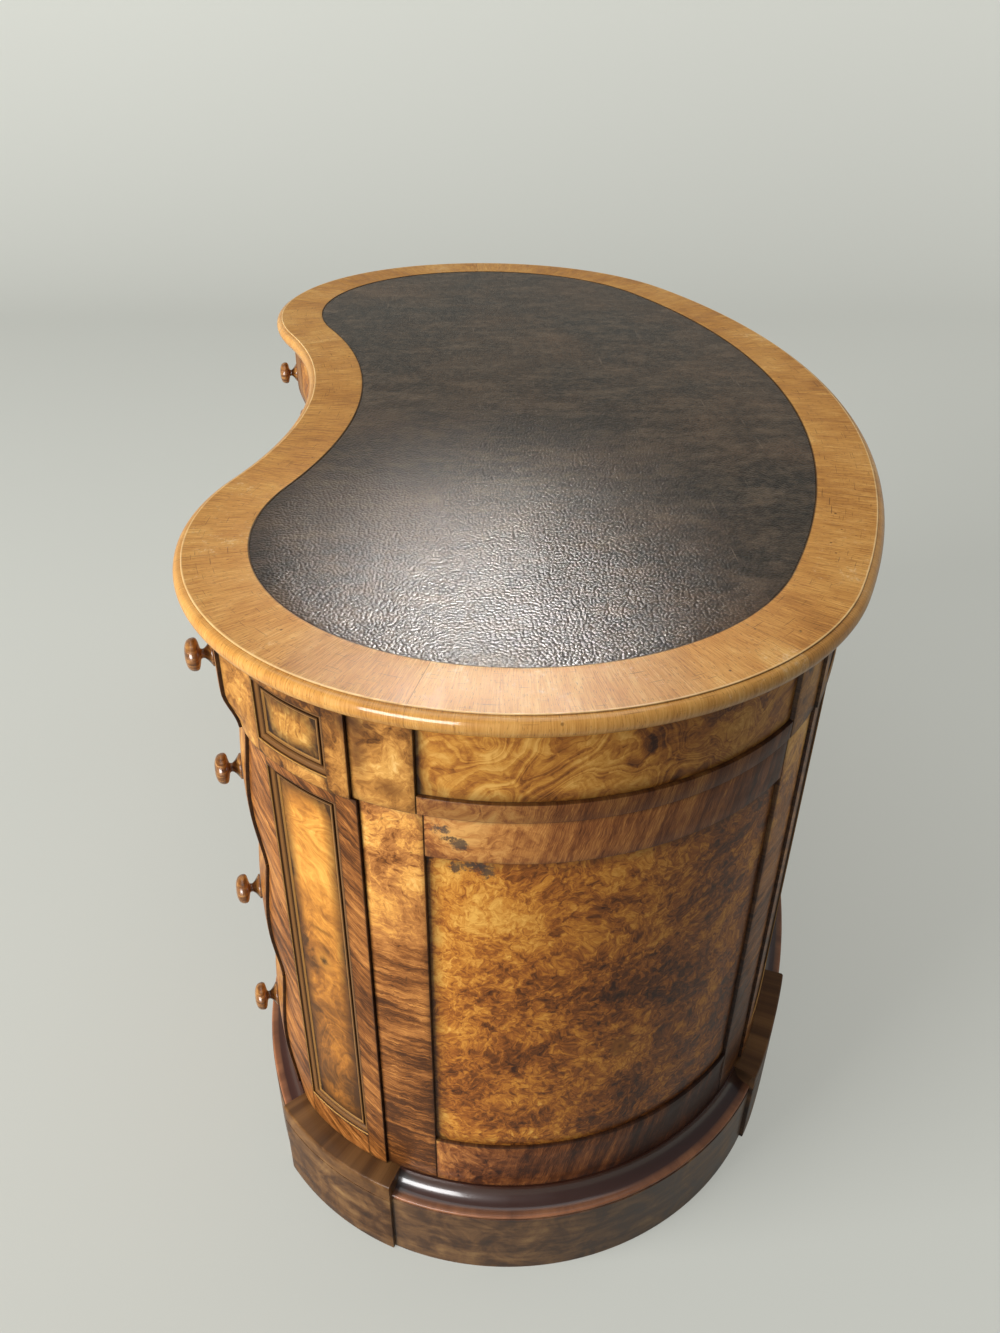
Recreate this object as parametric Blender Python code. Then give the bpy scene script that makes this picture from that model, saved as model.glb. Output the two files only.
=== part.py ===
"""Kidney-shaped pedestal writing desk with nine drawers, in metres, +Z up.

The top's outline is a chain of arcs. Every wall, panel, plinth and drawer front follows that outline
at its own inset, so the faces are drawn as sections of inset and height and bent round the desk.
Turns are degrees clockwise from +Y, seen from above. The front of the desk is towards -Y.
"""
import math
from types import SimpleNamespace

import bmesh
import bpy
from mathutils import Vector
from mathutils.bvhtree import BVHTree

for item in list(bpy.data.objects):
    bpy.data.objects.remove(item, do_unlink=True)

# Outline of the top: arcs from the middle of the back, round the end and the horn, to the hollow front.
BACK_RADIUS = 1.061
BACK_TURN = 28.0
END_RADIUS = 0.336
END_TURN = 108.0
HORN_RADIUS = 0.304
HOLLOW_DEPTH = 0.080

# Heights. The lower drawer of a pedestal takes what the two above it leave.
TOP_HEIGHT = 0.740
TOP_THICK = 0.021
FRIEZE_HEIGHT = 0.0975
PLINTH_HEIGHT = 0.117
UPPER_DRAWER = 0.166
MIDDLE_DRAWER = 0.156

# Top board and its leather.
LEATHER_MARGIN = 0.0675
LEATHER_THICK = 0.0012
LEATHER_SINK = 0.0004

# Insets of the faces from the edge of the top, and the steps between them.
PILASTER_INSET = 0.023
FRIEZE_PROUD = 0.0015
BAY_STEP = 0.003
PANEL_STEP = 0.004

# Where the front pilaster begins, how much further forward the frieze's does, and widths along the faces.
BAY_FRONT = 118.0
FRIEZE_SHIFT = 0.005
BAY_WIDTH = 0.465
STILE_WIDTH = 0.057
PILASTER_WIDTH = 0.147
BACK_PILASTER_WIDTH = 0.143

# Rails above and below the recessed fields.
TOP_RAIL = 0.045
BOTTOM_RAIL = 0.066
FRIEZE_RAIL = 0.0185

# Sunk panels of the pilasters: margins on the face, and the moulding round each panel.
PANEL_SIDE = 0.021
PANEL_EDGE = 0.043
PANEL_HEAD = 0.012
PANEL_FOOT = 0.035
FRIEZE_PANEL_HEAD = 0.0225
FRIEZE_PANEL_FOOT = 0.014
MOULDING_WIDTH = 0.0105
MOULDING_DEPTH = 0.0055

# Drawer fronts: inset where two fronts meet, rise of the cushion between, the ogee of the frieze, and
# the bow in plan, which is flatter than the horn above it.
JOINT_INSET = 0.0265
CUSHION_RISE = 0.007
FRIEZE_INSET = 0.0108
FRIEZE_OGEE = 0.0107
OGEE_HEIGHT = 0.044
DRAWER_BOW = 0.016
FRONT_THICK = 0.020

# Carcase boards and drawer boxes.
KNEEHOLE_HALF = 0.2315
CHEEK_THICK = 0.018
SHELF_THICK = 0.010
GUIDE_THICK = 0.012
FLOOR_THICK = 0.012
DRAWER_LENGTH = 0.420
BOX_WALL = 0.009
BOX_FLOOR = 0.006
HEADROOM = 0.012

# Knobs: distance from the middle of the drawer, and drop below the middle of its height.
KNOB_SPREAD = 0.0745
CENTRE_KNOB_SPREAD = 0.115
KNOB_DROP = 0.005
KNOB_RADIUS = 0.0152
KNOB_LENGTH = 0.0225
COLLAR_RADIUS = 0.0125

# Plinth: insets of its back (further in under the drawers) and of its faces, its bow under the drawers,
# how far a block runs past its pilaster and stops short of the drawers, and the moulding along its head.
PLINTH_BACK = 0.040
PLINTH_RAIL_BACK = 0.060
PLINTH_FACE = 0.003
PLINTH_BOW = 0.0275
BLOCK_FACE = -0.001
BLOCK_LAP = 0.015
BLOCK_SHORT = 0.015
MOULDED_HEIGHT = 0.026
QUIRK = 0.002
BEAD = 0.004

# Clearances: pieces that touch, drawers that slide, boards dropped in with ease.
GAP = 0.0003
SLIDE_GAP = 0.001
EASE = 0.0015

# Fineness of the meshes.
BACK_STEPS = 5
END_STEPS = 10
HORN_STEPS = 12
HOLLOW_STEPS = 8
CUSHION_STEPS = 6
FRONT_STEPS = 8
KNOB_SIDES = 12
LEAST_STEP = 0.002
STEP_TURN = 0.05
SHARP_ANGLE = math.radians(35)


def facing(turn):
    """Direction in plan of a turn."""
    return Vector((math.sin(math.radians(turn)), math.cos(math.radians(turn))))


# Each arc is tangent to the next, so each centre lies on the line through the shared turn.
BACK_CENTRE = Vector((0.0, -BACK_RADIUS))
END_CENTRE = BACK_CENTRE + (BACK_RADIUS - END_RADIUS) * facing(BACK_TURN)
HORN_CENTRE = END_CENTRE + (END_RADIUS - HORN_RADIUS) * facing(END_TURN)
DEPTH = HORN_RADIUS - HORN_CENTRE.y
HOLLOW_RADIUS = (HORN_CENTRE.x ** 2 + HOLLOW_DEPTH ** 2) / (2 * HOLLOW_DEPTH) - HORN_RADIUS
HOLLOW_CENTRE = Vector((0.0, HOLLOW_DEPTH - DEPTH - HOLLOW_RADIUS))
HOLLOW_TURN = math.degrees(math.atan2(HORN_CENTRE.x, HORN_CENTRE.y - HOLLOW_CENTRE.y))
HORN_TURN = 180.0 + HOLLOW_TURN
for centre in (BACK_CENTRE, END_CENTRE, HORN_CENTRE, HOLLOW_CENTRE):
    centre.y += DEPTH / 2
ARCS = (
    (BACK_TURN, BACK_RADIUS),
    (END_TURN - BACK_TURN, END_RADIUS),
    (HORN_TURN - END_TURN, HORN_RADIUS),
)


def wall(turn, inset):
    """Plan point where the outline, moved inward by an inset, faces a turn."""
    if turn <= BACK_TURN:
        return BACK_CENTRE + (BACK_RADIUS - inset) * facing(turn)
    if turn <= END_TURN:
        return END_CENTRE + (END_RADIUS - inset) * facing(turn)
    return HORN_CENTRE + (HORN_RADIUS - inset) * facing(turn)


def front_depth(x, inset):
    """Plan depth of the front line at x: the horn's arc, or the hollow between the horns."""
    lip = wall(HORN_TURN, inset).x
    if abs(x) < lip:
        return HOLLOW_CENTRE.y + math.sqrt((HOLLOW_RADIUS + inset) ** 2 - x ** 2)
    return HORN_CENTRE.y - math.sqrt((HORN_RADIUS - inset) ** 2 - (abs(x) - HORN_CENTRE.x) ** 2)


def back_depth(x, inset):
    """Plan depth of the back line at x."""
    return BACK_CENTRE.y + math.sqrt((BACK_RADIUS - inset) ** 2 - x ** 2)


def station(turn, inset):
    """Distance along a face from the middle of the back to where it faces a turn."""
    length = 0.0
    for sweep, radius in ARCS:
        part = min(turn, sweep)
        length += math.radians(part) * (radius - inset)
        turn -= part
    return length


def turn_at(length, inset):
    """Turn that a face has at a distance from the middle of the back."""
    turn = 0.0
    for sweep, radius in ARCS:
        part = min(length, math.radians(sweep) * (radius - inset))
        turn += math.degrees(part / (radius - inset))
        length -= part
    return turn


# A line runs across the walls in plan and gives its point at each inset.
def turned(turn):
    return lambda inset: wall(turn, inset)


def across_front(x):
    return lambda inset: Vector((x, front_depth(x, inset)))


def across_back(x):
    return lambda inset: Vector((x, back_depth(x, inset)))


def bowed(inner_x, outer_turn, bow):
    """Lines across a front that runs in a flat bow from an upright board to a pilaster."""
    def at(share):
        def line(inset):
            spot = across_front(inner_x)(inset).lerp(wall(outer_turn, inset), share)
            spot.y -= 4 * bow * share * (1 - share)
            return spot
        return line
    return at


def evenly(start, end, steps):
    """Evenly spaced values from start to end, both included."""
    return [start + (end - start) * k / steps for k in range(steps + 1)]


def merged(kept, extra, least):
    """Kept values with those of the extra ones that stay clear of them, in order."""
    clear = [value for value in extra if all(abs(value - other) > least for other in kept)]
    return sorted(list(kept) + clear)


# Levels and storeys.
FRIEZE_TOP = TOP_HEIGHT - TOP_THICK
FRIEZE_FOOT = FRIEZE_TOP - FRIEZE_HEIGHT
TIERS = (
    (PLINTH_HEIGHT, FRIEZE_FOOT - UPPER_DRAWER - MIDDLE_DRAWER),
    (FRIEZE_FOOT - UPPER_DRAWER - MIDDLE_DRAWER, FRIEZE_FOOT - UPPER_DRAWER),
    (FRIEZE_FOOT - UPPER_DRAWER, FRIEZE_FOOT),
)
FRIEZE_TIER = (FRIEZE_FOOT, FRIEZE_TOP)
CHEEK_OUT = KNEEHOLE_HALF + CHEEK_THICK
# The walls end just short of the back of the drawer fronts, so the boxes pass them.
WALL_BACK = JOINT_INSET + FRONT_THICK - SLIDE_GAP
FRIEZE_BACK = FRIEZE_INSET + FRIEZE_OGEE + FRONT_THICK - SLIDE_GAP
PEDESTAL = SimpleNamespace(
    foot=PLINTH_HEIGHT,
    head=FRIEZE_FOOT - GAP,
    face=PILASTER_INSET,
    back=WALL_BACK,
    rail_foot=PLINTH_HEIGHT + BOTTOM_RAIL,
    rail_head=FRIEZE_FOOT - TOP_RAIL,
    panel_foot=PLINTH_HEIGHT + PANEL_FOOT,
    panel_head=FRIEZE_FOOT - PANEL_HEAD,
    front_back=JOINT_INSET + FRONT_THICK,
    shift=0.0,
)
FRIEZE = SimpleNamespace(
    foot=FRIEZE_FOOT,
    head=FRIEZE_TOP - GAP,
    face=PILASTER_INSET - FRIEZE_PROUD,
    back=FRIEZE_BACK,
    rail_foot=FRIEZE_FOOT + FRIEZE_RAIL,
    rail_head=FRIEZE_TOP,
    panel_foot=FRIEZE_FOOT + FRIEZE_PANEL_FOOT,
    panel_head=FRIEZE_TOP - FRIEZE_PANEL_HEAD,
    front_back=FRIEZE_INSET + FRIEZE_OGEE + FRONT_THICK,
    shift=FRIEZE_SHIFT,
)

# Turns where the faces change, walked off along the pilaster face.
BAY_BACK = turn_at(station(BAY_FRONT, PILASTER_INSET) - BAY_WIDTH, PILASTER_INSET)
PILASTER_FRONT = turn_at(station(BAY_FRONT, PILASTER_INSET) + PILASTER_WIDTH, PILASTER_INSET)
PILASTER_BACK = turn_at(station(BAY_BACK, PILASTER_INSET) - BACK_PILASTER_WIDTH, PILASTER_INSET)
FIELD_FRONT = turn_at(station(BAY_FRONT, PILASTER_INSET) - STILE_WIDTH, PILASTER_INSET)
FIELD_BACK = turn_at(station(BAY_BACK, PILASTER_INSET) + STILE_WIDTH, PILASTER_INSET)
REAR_FIELD = turn_at(station(PILASTER_BACK, PILASTER_INSET) - STILE_WIDTH, PILASTER_INSET)
BLOCK_FRONT = turn_at(station(BAY_FRONT, PILASTER_INSET) - BLOCK_LAP, PILASTER_INSET)
BLOCK_BACK = turn_at(station(BAY_BACK, PILASTER_INSET) + BLOCK_LAP, PILASTER_INSET)
BLOCK_END = turn_at(station(PILASTER_FRONT, PILASTER_INSET) - BLOCK_SHORT, PILASTER_INSET)
SEAM_TURN = math.degrees(GAP / (HORN_RADIUS - WALL_BACK))
SLIDE_TURN = math.degrees(SLIDE_GAP / (HORN_RADIUS - JOINT_INSET))
horn_line = bowed(CHEEK_OUT + SLIDE_GAP, PILASTER_FRONT + SLIDE_TURN, DRAWER_BOW)
plinth_line = bowed(KNEEHOLE_HALF, BLOCK_END + STEP_TURN, PLINTH_BOW)
HORN_FRONT = HORN_CENTRE.y - HORN_RADIUS


def centre_line(share):
    """Line across the centre drawer's front, square to the dividers."""
    return across_front((2 * share - 1) * (KNEEHOLE_HALF - SLIDE_GAP))


FINISHES = {}
for finish_name, colour, roughness in (
    ("walnut veneer", (0.42, 0.22, 0.07), 0.32),
    ("burr walnut", (0.46, 0.25, 0.08), 0.30),
    ("dark walnut", (0.13, 0.06, 0.025), 0.35),
    ("turned walnut", (0.24, 0.11, 0.04), 0.28),
    ("drawer oak", (0.45, 0.33, 0.20), 0.60),
    ("carcase pine", (0.50, 0.36, 0.20), 0.65),
    ("writing leather", (0.03, 0.022, 0.018), 0.42),
):
    finish = bpy.data.materials.new(finish_name)
    finish.use_nodes = True
    shader = finish.node_tree.nodes["Principled BSDF"]
    shader.inputs["Base Color"].default_value = (*colour, 1.0)
    shader.inputs["Roughness"].default_value = roughness
    shader.inputs["Metallic"].default_value = 0.0
    FINISHES[finish_name] = finish


def piece(name, points, faces, finish, holder=None):
    """One closed body from points in the desk's frame; what moves hangs on its drawer's holder."""
    lows = Vector(min(p[axis] for p in points) for axis in range(3))
    highs = Vector(max(p[axis] for p in points) for axis in range(3))
    anchor = holder.location if holder else (lows + highs) / 2
    mesh = bpy.data.meshes.new(name)
    mesh.from_pydata([Vector(p) - anchor for p in points], [], faces)
    body = bmesh.new()
    body.from_mesh(mesh)
    bmesh.ops.recalc_face_normals(body, faces=body.faces)
    for face in body.faces:
        face.smooth = True
    body.to_mesh(mesh)
    body.free()
    mesh.set_sharp_from_angle(angle=SHARP_ANGLE)
    mesh.materials.append(FINISHES[finish])
    made = bpy.data.objects.new(name, mesh)
    bpy.context.scene.collection.objects.link(made)
    if holder:
        made.parent = holder
    else:
        made.location = anchor
    return made


def skin_faces(size, rows, hints):
    """Faces over rows of rings; a bent square is split along the line that keeps its mitre."""
    faces = [list(range(size)), [(rows - 1) * size + k for k in range(size)]]
    for row in range(rows - 1):
        for k in range(size):
            a = row * size + k
            b = a + size
            d = row * size + (k + 1) % size
            c = d + size
            fold = abs(hints[a] - hints[c]) - abs(hints[b] - hints[d])
            if abs(fold) < GAP / 10:
                faces.append((a, b, c, d))
            elif fold > 0:
                faces += [(a, b, c), (a, c, d)]
            else:
                faces += [(a, b, d), (b, c, d)]
    return faces


def skin(name, rings, finish, holder=None):
    """Closed body over rings of points, closed at both ends."""
    points = [point for ring in rings for point in ring]
    faces = skin_faces(len(rings[0]), len(rings), [0.0] * len(points))
    return piece(name, points, faces, finish, holder)


def loft_points(lines, sections, side):
    """Points and insets of sections, drawn as inset and height, set up on lines round the desk."""
    points = []
    hints = []
    for line, section in zip(lines, sections):
        for inset, height in section:
            spot = line(inset)
            points.append((side * spot.x, spot.y, height))
            hints.append(inset)
    return points, hints


def loft(name, lines, sections, finish, side=1, holder=None):
    """Closed body bent round the desk through one section on each line."""
    points, hints = loft_points(lines, sections, side)
    faces = skin_faces(len(sections[0]), len(sections), hints)
    return piece(name, points, faces, finish, holder)


OUTLINE_TURNS = evenly(0.0, BACK_TURN, BACK_STEPS)
OUTLINE_TURNS += evenly(BACK_TURN, END_TURN, END_STEPS)[1:]
OUTLINE_TURNS += evenly(END_TURN, HORN_TURN, HORN_STEPS)[1:]


def kidney(inset, height):
    """Closed kidney line at one inset and height, from the middle of the back."""
    right = [wall(turn, inset) for turn in OUTLINE_TURNS]
    hollow_turns = evenly(HOLLOW_TURN, -HOLLOW_TURN, HOLLOW_STEPS)[1:-1]
    hollow = [HOLLOW_CENTRE + (HOLLOW_RADIUS + inset) * facing(turn) for turn in hollow_turns]
    left = [Vector((-spot.x, spot.y)) for spot in reversed(right[1:])]
    return [(spot.x, spot.y, height) for spot in right + hollow + left]


# Top board: thumb-moulded edge, underside flat on the frieze, sunk field for the leather.
edge = [
    (0.55 * TOP_THICK, 0.0),
    (0.30 * TOP_THICK, 0.08 * TOP_THICK),
    (0.10 * TOP_THICK, 0.28 * TOP_THICK),
    (0.0, 0.55 * TOP_THICK),
    (0.04 * TOP_THICK, 0.80 * TOP_THICK),
    (0.16 * TOP_THICK, 0.95 * TOP_THICK),
    (0.26 * TOP_THICK, TOP_THICK),
    (LEATHER_MARGIN, TOP_THICK),
    (LEATHER_MARGIN, TOP_THICK - LEATHER_THICK - LEATHER_SINK - GAP),
]
skin("top_board", [kidney(inset, FRIEZE_TOP + rise) for inset, rise in edge], "walnut veneer")
leather_head = TOP_HEIGHT - LEATHER_SINK
skin(
    "writing_leather",
    [kidney(LEATHER_MARGIN + GAP, leather_head - LEATHER_THICK), kidney(LEATHER_MARGIN + GAP, leather_head)],
    "writing leather",
)


def front_inset(height):
    """Inset of the drawer fronts at a height: a cushion to each pedestal drawer, an ogee on the frieze."""
    if height >= FRIEZE_FOOT:
        share = min(1.0, (height - FRIEZE_FOOT) / OGEE_HEIGHT)
        return FRIEZE_INSET + FRIEZE_OGEE * (1 - share * share * (3 - 2 * share))
    for foot, head in TIERS:
        if height <= head:
            break
    swell = math.sin(math.pi * max(0.0, height - foot) / (head - foot))
    return JOINT_INSET - CUSHION_RISE * max(0.0, swell) ** 1.4


def sunk(along, up, width, height):
    """Depth of a moulded panel at a place measured from its lower corner: ovolo, quirk and bead."""
    profile = ((0.0, 0.0), (0.08, 0.40), (0.62, 1.0), (0.81, 0.73), (1.0, 0.91))
    rim = min(along, width - along, up, height - up) / MOULDING_WIDTH
    if rim <= 0:
        return 0.0
    for (near, shallow), (far, deep) in zip(profile, profile[1:]):
        if rim <= far:
            return MOULDING_DEPTH * (shallow + (deep - shallow) * (rim - near) / (far - near))
    return MOULDING_DEPTH * profile[-1][1]


def rims(start, end):
    """Places of the moulding's edges inside a panel that runs from start to end."""
    shares = (0.0, 0.08, 0.62, 0.81, 1.0)
    lead = [start + MOULDING_WIDTH * share for share in shares]
    trail = [end - MOULDING_WIDTH * share for share in reversed(shares)]
    return lead + trail


def pilaster_levels(storey, tiers):
    """Heights that a pilaster's face needs: its panel's moulding and the wave of its front edge."""
    kept = [storey.foot, storey.head] + rims(storey.panel_foot, storey.panel_head)
    waves = [height for foot, head in tiers for height in evenly(foot, head, CUSHION_STEPS)]
    return merged(kept, waves, LEAST_STEP)


def front_pilaster_faces(storey, levels):
    """Lines and face sections of the front pilaster, from the end bay to the drawers."""
    start = station(BAY_FRONT, storey.face) + storey.shift
    end = station(PILASTER_FRONT, storey.face)
    near = start + PANEL_SIDE
    far = end - PANEL_EDGE + storey.shift
    places = [start] + rims(near, far) + evenly(far, end, 4)[1:]
    places = merged(places, evenly(near, far, 4), LEAST_STEP)
    lines = []
    sections = []
    for place in places:
        turn_away = max(0.0, place - far) / (end - far)
        section = []
        for height in levels:
            flat = storey.face + sunk(place - near, height - storey.panel_foot, far - near,
                                      storey.panel_head - storey.panel_foot)
            section.append((flat + (front_inset(height) - flat) * turn_away ** 1.6, height))
        lines.append(turned(turn_at(place, storey.face)))
        sections.append(section)
    return lines, sections


def back_pilaster_faces(storey, levels):
    """Lines and face sections of the back corner pilaster, from the back bay to the end bay."""
    start = station(PILASTER_BACK, storey.face)
    end = station(BAY_BACK, storey.face)
    near = start + PANEL_SIDE
    far = end - PANEL_SIDE
    places = merged([start, end] + rims(near, far), evenly(near, far, 3), LEAST_STEP)
    lines = [turned(turn_at(place, storey.face)) for place in places]
    sections = [
        [(storey.face + sunk(place - near, height - storey.panel_foot, far - near,
                             storey.panel_head - storey.panel_foot), height) for height in levels]
        for place in places
    ]
    return lines, sections


def bay_faces(storey, levels, turns, recessed):
    """Lines and face sections of a bay: plain stile, or rails with the recessed field between them."""
    stile = storey.face + BAY_STEP
    section = [
        (stile + PANEL_STEP * (recessed and storey.rail_foot <= height <= storey.rail_head), height)
        for height in levels
    ]
    return [turned(turn) for turn in turns], [section] * len(turns)


def rail_steps(storey):
    """Heights on both sides of each step between a rail and the recessed field."""
    steps = [storey.rail_foot - GAP, storey.rail_foot]
    if storey.rail_head < storey.head:
        steps += [storey.rail_head, storey.rail_head + GAP]
    return steps


def closed(sections, storey):
    """Face sections closed by the flat back of the wall."""
    return [section + [(storey.back, storey.head), (storey.back, storey.foot)] for section in sections]


# Frieze: two end walls that carry their pilaster blocks and panels, and the back wall between them.
def frieze_end(side, name):
    levels = pilaster_levels(FRIEZE, [FRIEZE_TIER])
    levels = sorted([height for height in levels if abs(height - FRIEZE.rail_foot) > LEAST_STEP / 2]
                    + rail_steps(FRIEZE))
    rear_lines, rear = back_pilaster_faces(FRIEZE, levels)
    stile_turns = (BAY_BACK + STEP_TURN, FIELD_BACK - STEP_TURN)
    back_stile_lines, back_stile = bay_faces(FRIEZE, levels, stile_turns, False)
    field_end = turn_at(station(FIELD_FRONT, FRIEZE.face) + FRIEZE_SHIFT, FRIEZE.face)
    field_lines, field = bay_faces(FRIEZE, levels, evenly(FIELD_BACK, field_end, END_STEPS), True)
    bay_end = turn_at(station(BAY_FRONT, FRIEZE.face) + FRIEZE_SHIFT, FRIEZE.face)
    stile_turns = (field_end + STEP_TURN, bay_end - STEP_TURN)
    front_stile_lines, front_stile = bay_faces(FRIEZE, levels, stile_turns, False)
    horn_lines, horn = front_pilaster_faces(FRIEZE, levels)
    lines = rear_lines + back_stile_lines + field_lines + front_stile_lines + horn_lines
    sections = rear + back_stile + field + front_stile + horn
    loft(name, lines, closed(sections, FRIEZE), "walnut veneer", side)


def back_bay_lines(storey, levels, edges, fields):
    """Lines and sections right across the back: stiles at the edges, field between them."""
    lines = []
    sections = []
    stile = storey.face + BAY_STEP
    for x, recessed in edges + fields:
        lines.append(across_back(x))
        sections.append([
            (stile + PANEL_STEP * (recessed and storey.rail_foot <= height <= storey.rail_head), height)
            for height in levels
        ])
    return lines, sections


frieze_end(1, "frieze_end_right")
frieze_end(-1, "frieze_end_left")

frieze_back_levels = sorted([FRIEZE.foot, FRIEZE.head] + rail_steps(FRIEZE))
seam_x = wall(PILASTER_BACK, FRIEZE.back).x - GAP
field_x = wall(REAR_FIELD, FRIEZE.face).x
stations = [(-seam_x, False), (-field_x - GAP, False)]
stations += [(x, True) for x in evenly(-field_x, field_x, 2 * BACK_STEPS)]
stations += [(field_x + GAP, False), (seam_x, False)]
frieze_back_lines, frieze_back_sections = back_bay_lines(FRIEZE, frieze_back_levels, stations, [])
loft("frieze_back", frieze_back_lines, closed(frieze_back_sections, FRIEZE), "walnut veneer")

# Frieze floor: board inside the walls and the drawer fronts; carries the frieze drawers, rests on the pedestals.
floor_side = [wall(turn, FRIEZE.back + EASE) for turn in OUTLINE_TURNS if turn < PILASTER_FRONT]
floor_side += [horn_line(1 - share)(FRIEZE.front_back + EASE) for share in evenly(0.0, 1.0, FRONT_STEPS)]
floor_front = [centre_line(1 - share)(FRIEZE.front_back + EASE) for share in evenly(0.0, 1.0, FRONT_STEPS)]
floor_outline = floor_side + floor_front + [Vector((-spot.x, spot.y)) for spot in reversed(floor_side[1:])]
skin(
    "frieze_floor",
    [[(spot.x, spot.y, height) for spot in floor_outline] for height in (FRIEZE_FOOT, FRIEZE_FOOT + FLOOR_THICK)],
    "carcase pine",
)


def upright(name, side, outline_at):
    """Board that stands front to back between the kneehole and a pedestal; outline_at gives its edge at x."""
    rings = []
    for x in (KNEEHOLE_HALF, CHEEK_OUT):
        rings.append([(side * x, depth, height) for depth, height in outline_at(x)])
    skin(name, rings, "walnut veneer")


def divider_outline(x):
    """Frieze divider: shaped nose down to the frieze's foot, board behind it on the frieze floor."""
    nose = [(front_depth(x, front_inset(height)), height)
            for height in evenly(FRIEZE.foot, FRIEZE.head, CUSHION_STEPS)]
    rear = back_depth(x, FRIEZE.back + EASE)
    deck = FRIEZE_FOOT + FLOOR_THICK + GAP
    notch = front_depth(x, FRIEZE.front_back)
    return nose + [(rear, FRIEZE.head), (rear, deck), (notch, deck), (notch, FRIEZE.foot)]


def cheek_outline(x):
    """Kneehole cheek: shaped front edge like the drawers, stepped back behind the plinth."""
    nose = [(front_depth(x, front_inset(height)), height)
            for foot, head in TIERS for height in evenly(foot, head, CUSHION_STEPS)[:-1]]
    nose.append((front_depth(x, front_inset(PEDESTAL.head)), PEDESTAL.head))
    rear = back_depth(x, WALL_BACK + GAP)
    step = front_depth(KNEEHOLE_HALF, PLINTH_RAIL_BACK + SLIDE_GAP)
    heel = back_depth(x, max(WALL_BACK, PLINTH_BACK) + GAP)
    return [(step, 0.0), (step, PLINTH_HEIGHT)] + nose + [(rear, PEDESTAL.head), (heel, 0.0)]


def drawer_frame(side, name):
    """Dust boards and bottom housed in the outer guide board, open towards the cheek."""
    inner = CHEEK_OUT + GAP
    guide = wall(PILASTER_FRONT, PEDESTAL.front_back).x
    outer = guide + GUIDE_THICK
    boards = [(PLINTH_HEIGHT, PLINTH_HEIGHT + SHELF_THICK)]
    boards += [(foot - SHELF_THICK / 2, foot + SHELF_THICK / 2) for foot, head in TIERS[1:]]
    comb = [(outer, PLINTH_HEIGHT), (outer, PEDESTAL.head), (guide, PEDESTAL.head)]
    for low, high in reversed(boards):
        comb += [(guide, high), (inner, high), (inner, low), (guide, low)]
    comb.pop()
    near = max(front_depth(inner, PEDESTAL.front_back), front_depth(outer, PEDESTAL.front_back)) + EASE
    far = HORN_FRONT + PEDESTAL.front_back + DRAWER_LENGTH
    skin(name, [[(side * x, depth, z) for x, z in comb] for depth in (near, far)], "carcase pine")


def bent_plate(name, turns, heights, is_hole, insets, finish, side):
    """Plate of cells bent round the end, left open where is_hole says so."""
    points = []
    places = {}

    def corner(i, j, inset):
        if (i, j, inset) not in places:
            places[i, j, inset] = len(points)
            spot = wall(turns[i], inset)
            points.append((side * spot.x, spot.y, heights[j]))
        return places[i, j, inset]

    cells = {(i, j) for i in range(len(turns) - 1) for j in range(len(heights) - 1) if not is_hole(i, j)}
    faces = []
    for i, j in cells:
        for inset in insets:
            faces.append([corner(i, j, inset), corner(i + 1, j, inset),
                          corner(i + 1, j + 1, inset), corner(i, j + 1, inset)])
        for beyond, start, end in (
            ((i - 1, j), (i, j), (i, j + 1)),
            ((i + 1, j), (i + 1, j), (i + 1, j + 1)),
            ((i, j - 1), (i, j), (i + 1, j)),
            ((i, j + 1), (i, j + 1), (i + 1, j + 1)),
        ):
            if beyond not in cells:
                faces.append([corner(*start, insets[0]), corner(*end, insets[0]),
                              corner(*end, insets[1]), corner(*start, insets[1])])
    piece(name, points, faces, finish)


def pedestal_end(side, name):
    """End wall whose face is the burr field, and the frame of stiles and rails laid on it."""
    turns = [BAY_BACK + SEAM_TURN] + evenly(FIELD_BACK, FIELD_FRONT, END_STEPS) + [BAY_FRONT - SEAM_TURN]
    field = PILASTER_INSET + BAY_STEP + PANEL_STEP
    section = [(field, PEDESTAL.foot), (field, PEDESTAL.head)]
    loft("end_wall_" + name, [turned(turn) for turn in turns], closed([section] * len(turns), PEDESTAL),
         "burr walnut", side)
    heights = (PEDESTAL.foot, PEDESTAL.rail_foot, PEDESTAL.rail_head, PEDESTAL.head)
    last = len(turns) - 2
    bent_plate("end_frame_" + name, turns, heights, lambda i, j: 0 < i < last and j == 1,
               (PILASTER_INSET + BAY_STEP, field - GAP), "walnut veneer", side)


def pedestal_pilaster(side, name):
    """Front pilaster: tall sunk panel, and a front edge that swells with the drawers."""
    lines, sections = front_pilaster_faces(PEDESTAL, pilaster_levels(PEDESTAL, TIERS))
    loft("front_pilaster_" + name, lines, closed(sections, PEDESTAL), "walnut veneer", side)


def pedestal_back(side, name):
    """Back corner pilaster and the pedestal's share of the back bay, ending flush with the cheek."""
    levels = sorted([PEDESTAL.foot, PEDESTAL.head] + rims(PEDESTAL.panel_foot, PEDESTAL.panel_head)
                    + rail_steps(PEDESTAL))
    lines, sections = back_pilaster_faces(PEDESTAL, levels)
    stile_x = wall(PILASTER_BACK - STEP_TURN, PEDESTAL.face).x
    field_edge = wall(REAR_FIELD, PEDESTAL.face).x
    bay = [(KNEEHOLE_HALF, True), ((KNEEHOLE_HALF + field_edge) / 2, True), (field_edge, True)]
    stile = [(field_edge + GAP, False), (stile_x, False)]
    bay_lines, bay_sections = back_bay_lines(PEDESTAL, levels, bay, stile)
    loft("back_wall_" + name, bay_lines + lines, closed(bay_sections + sections, PEDESTAL),
         "walnut veneer", side)


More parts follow.
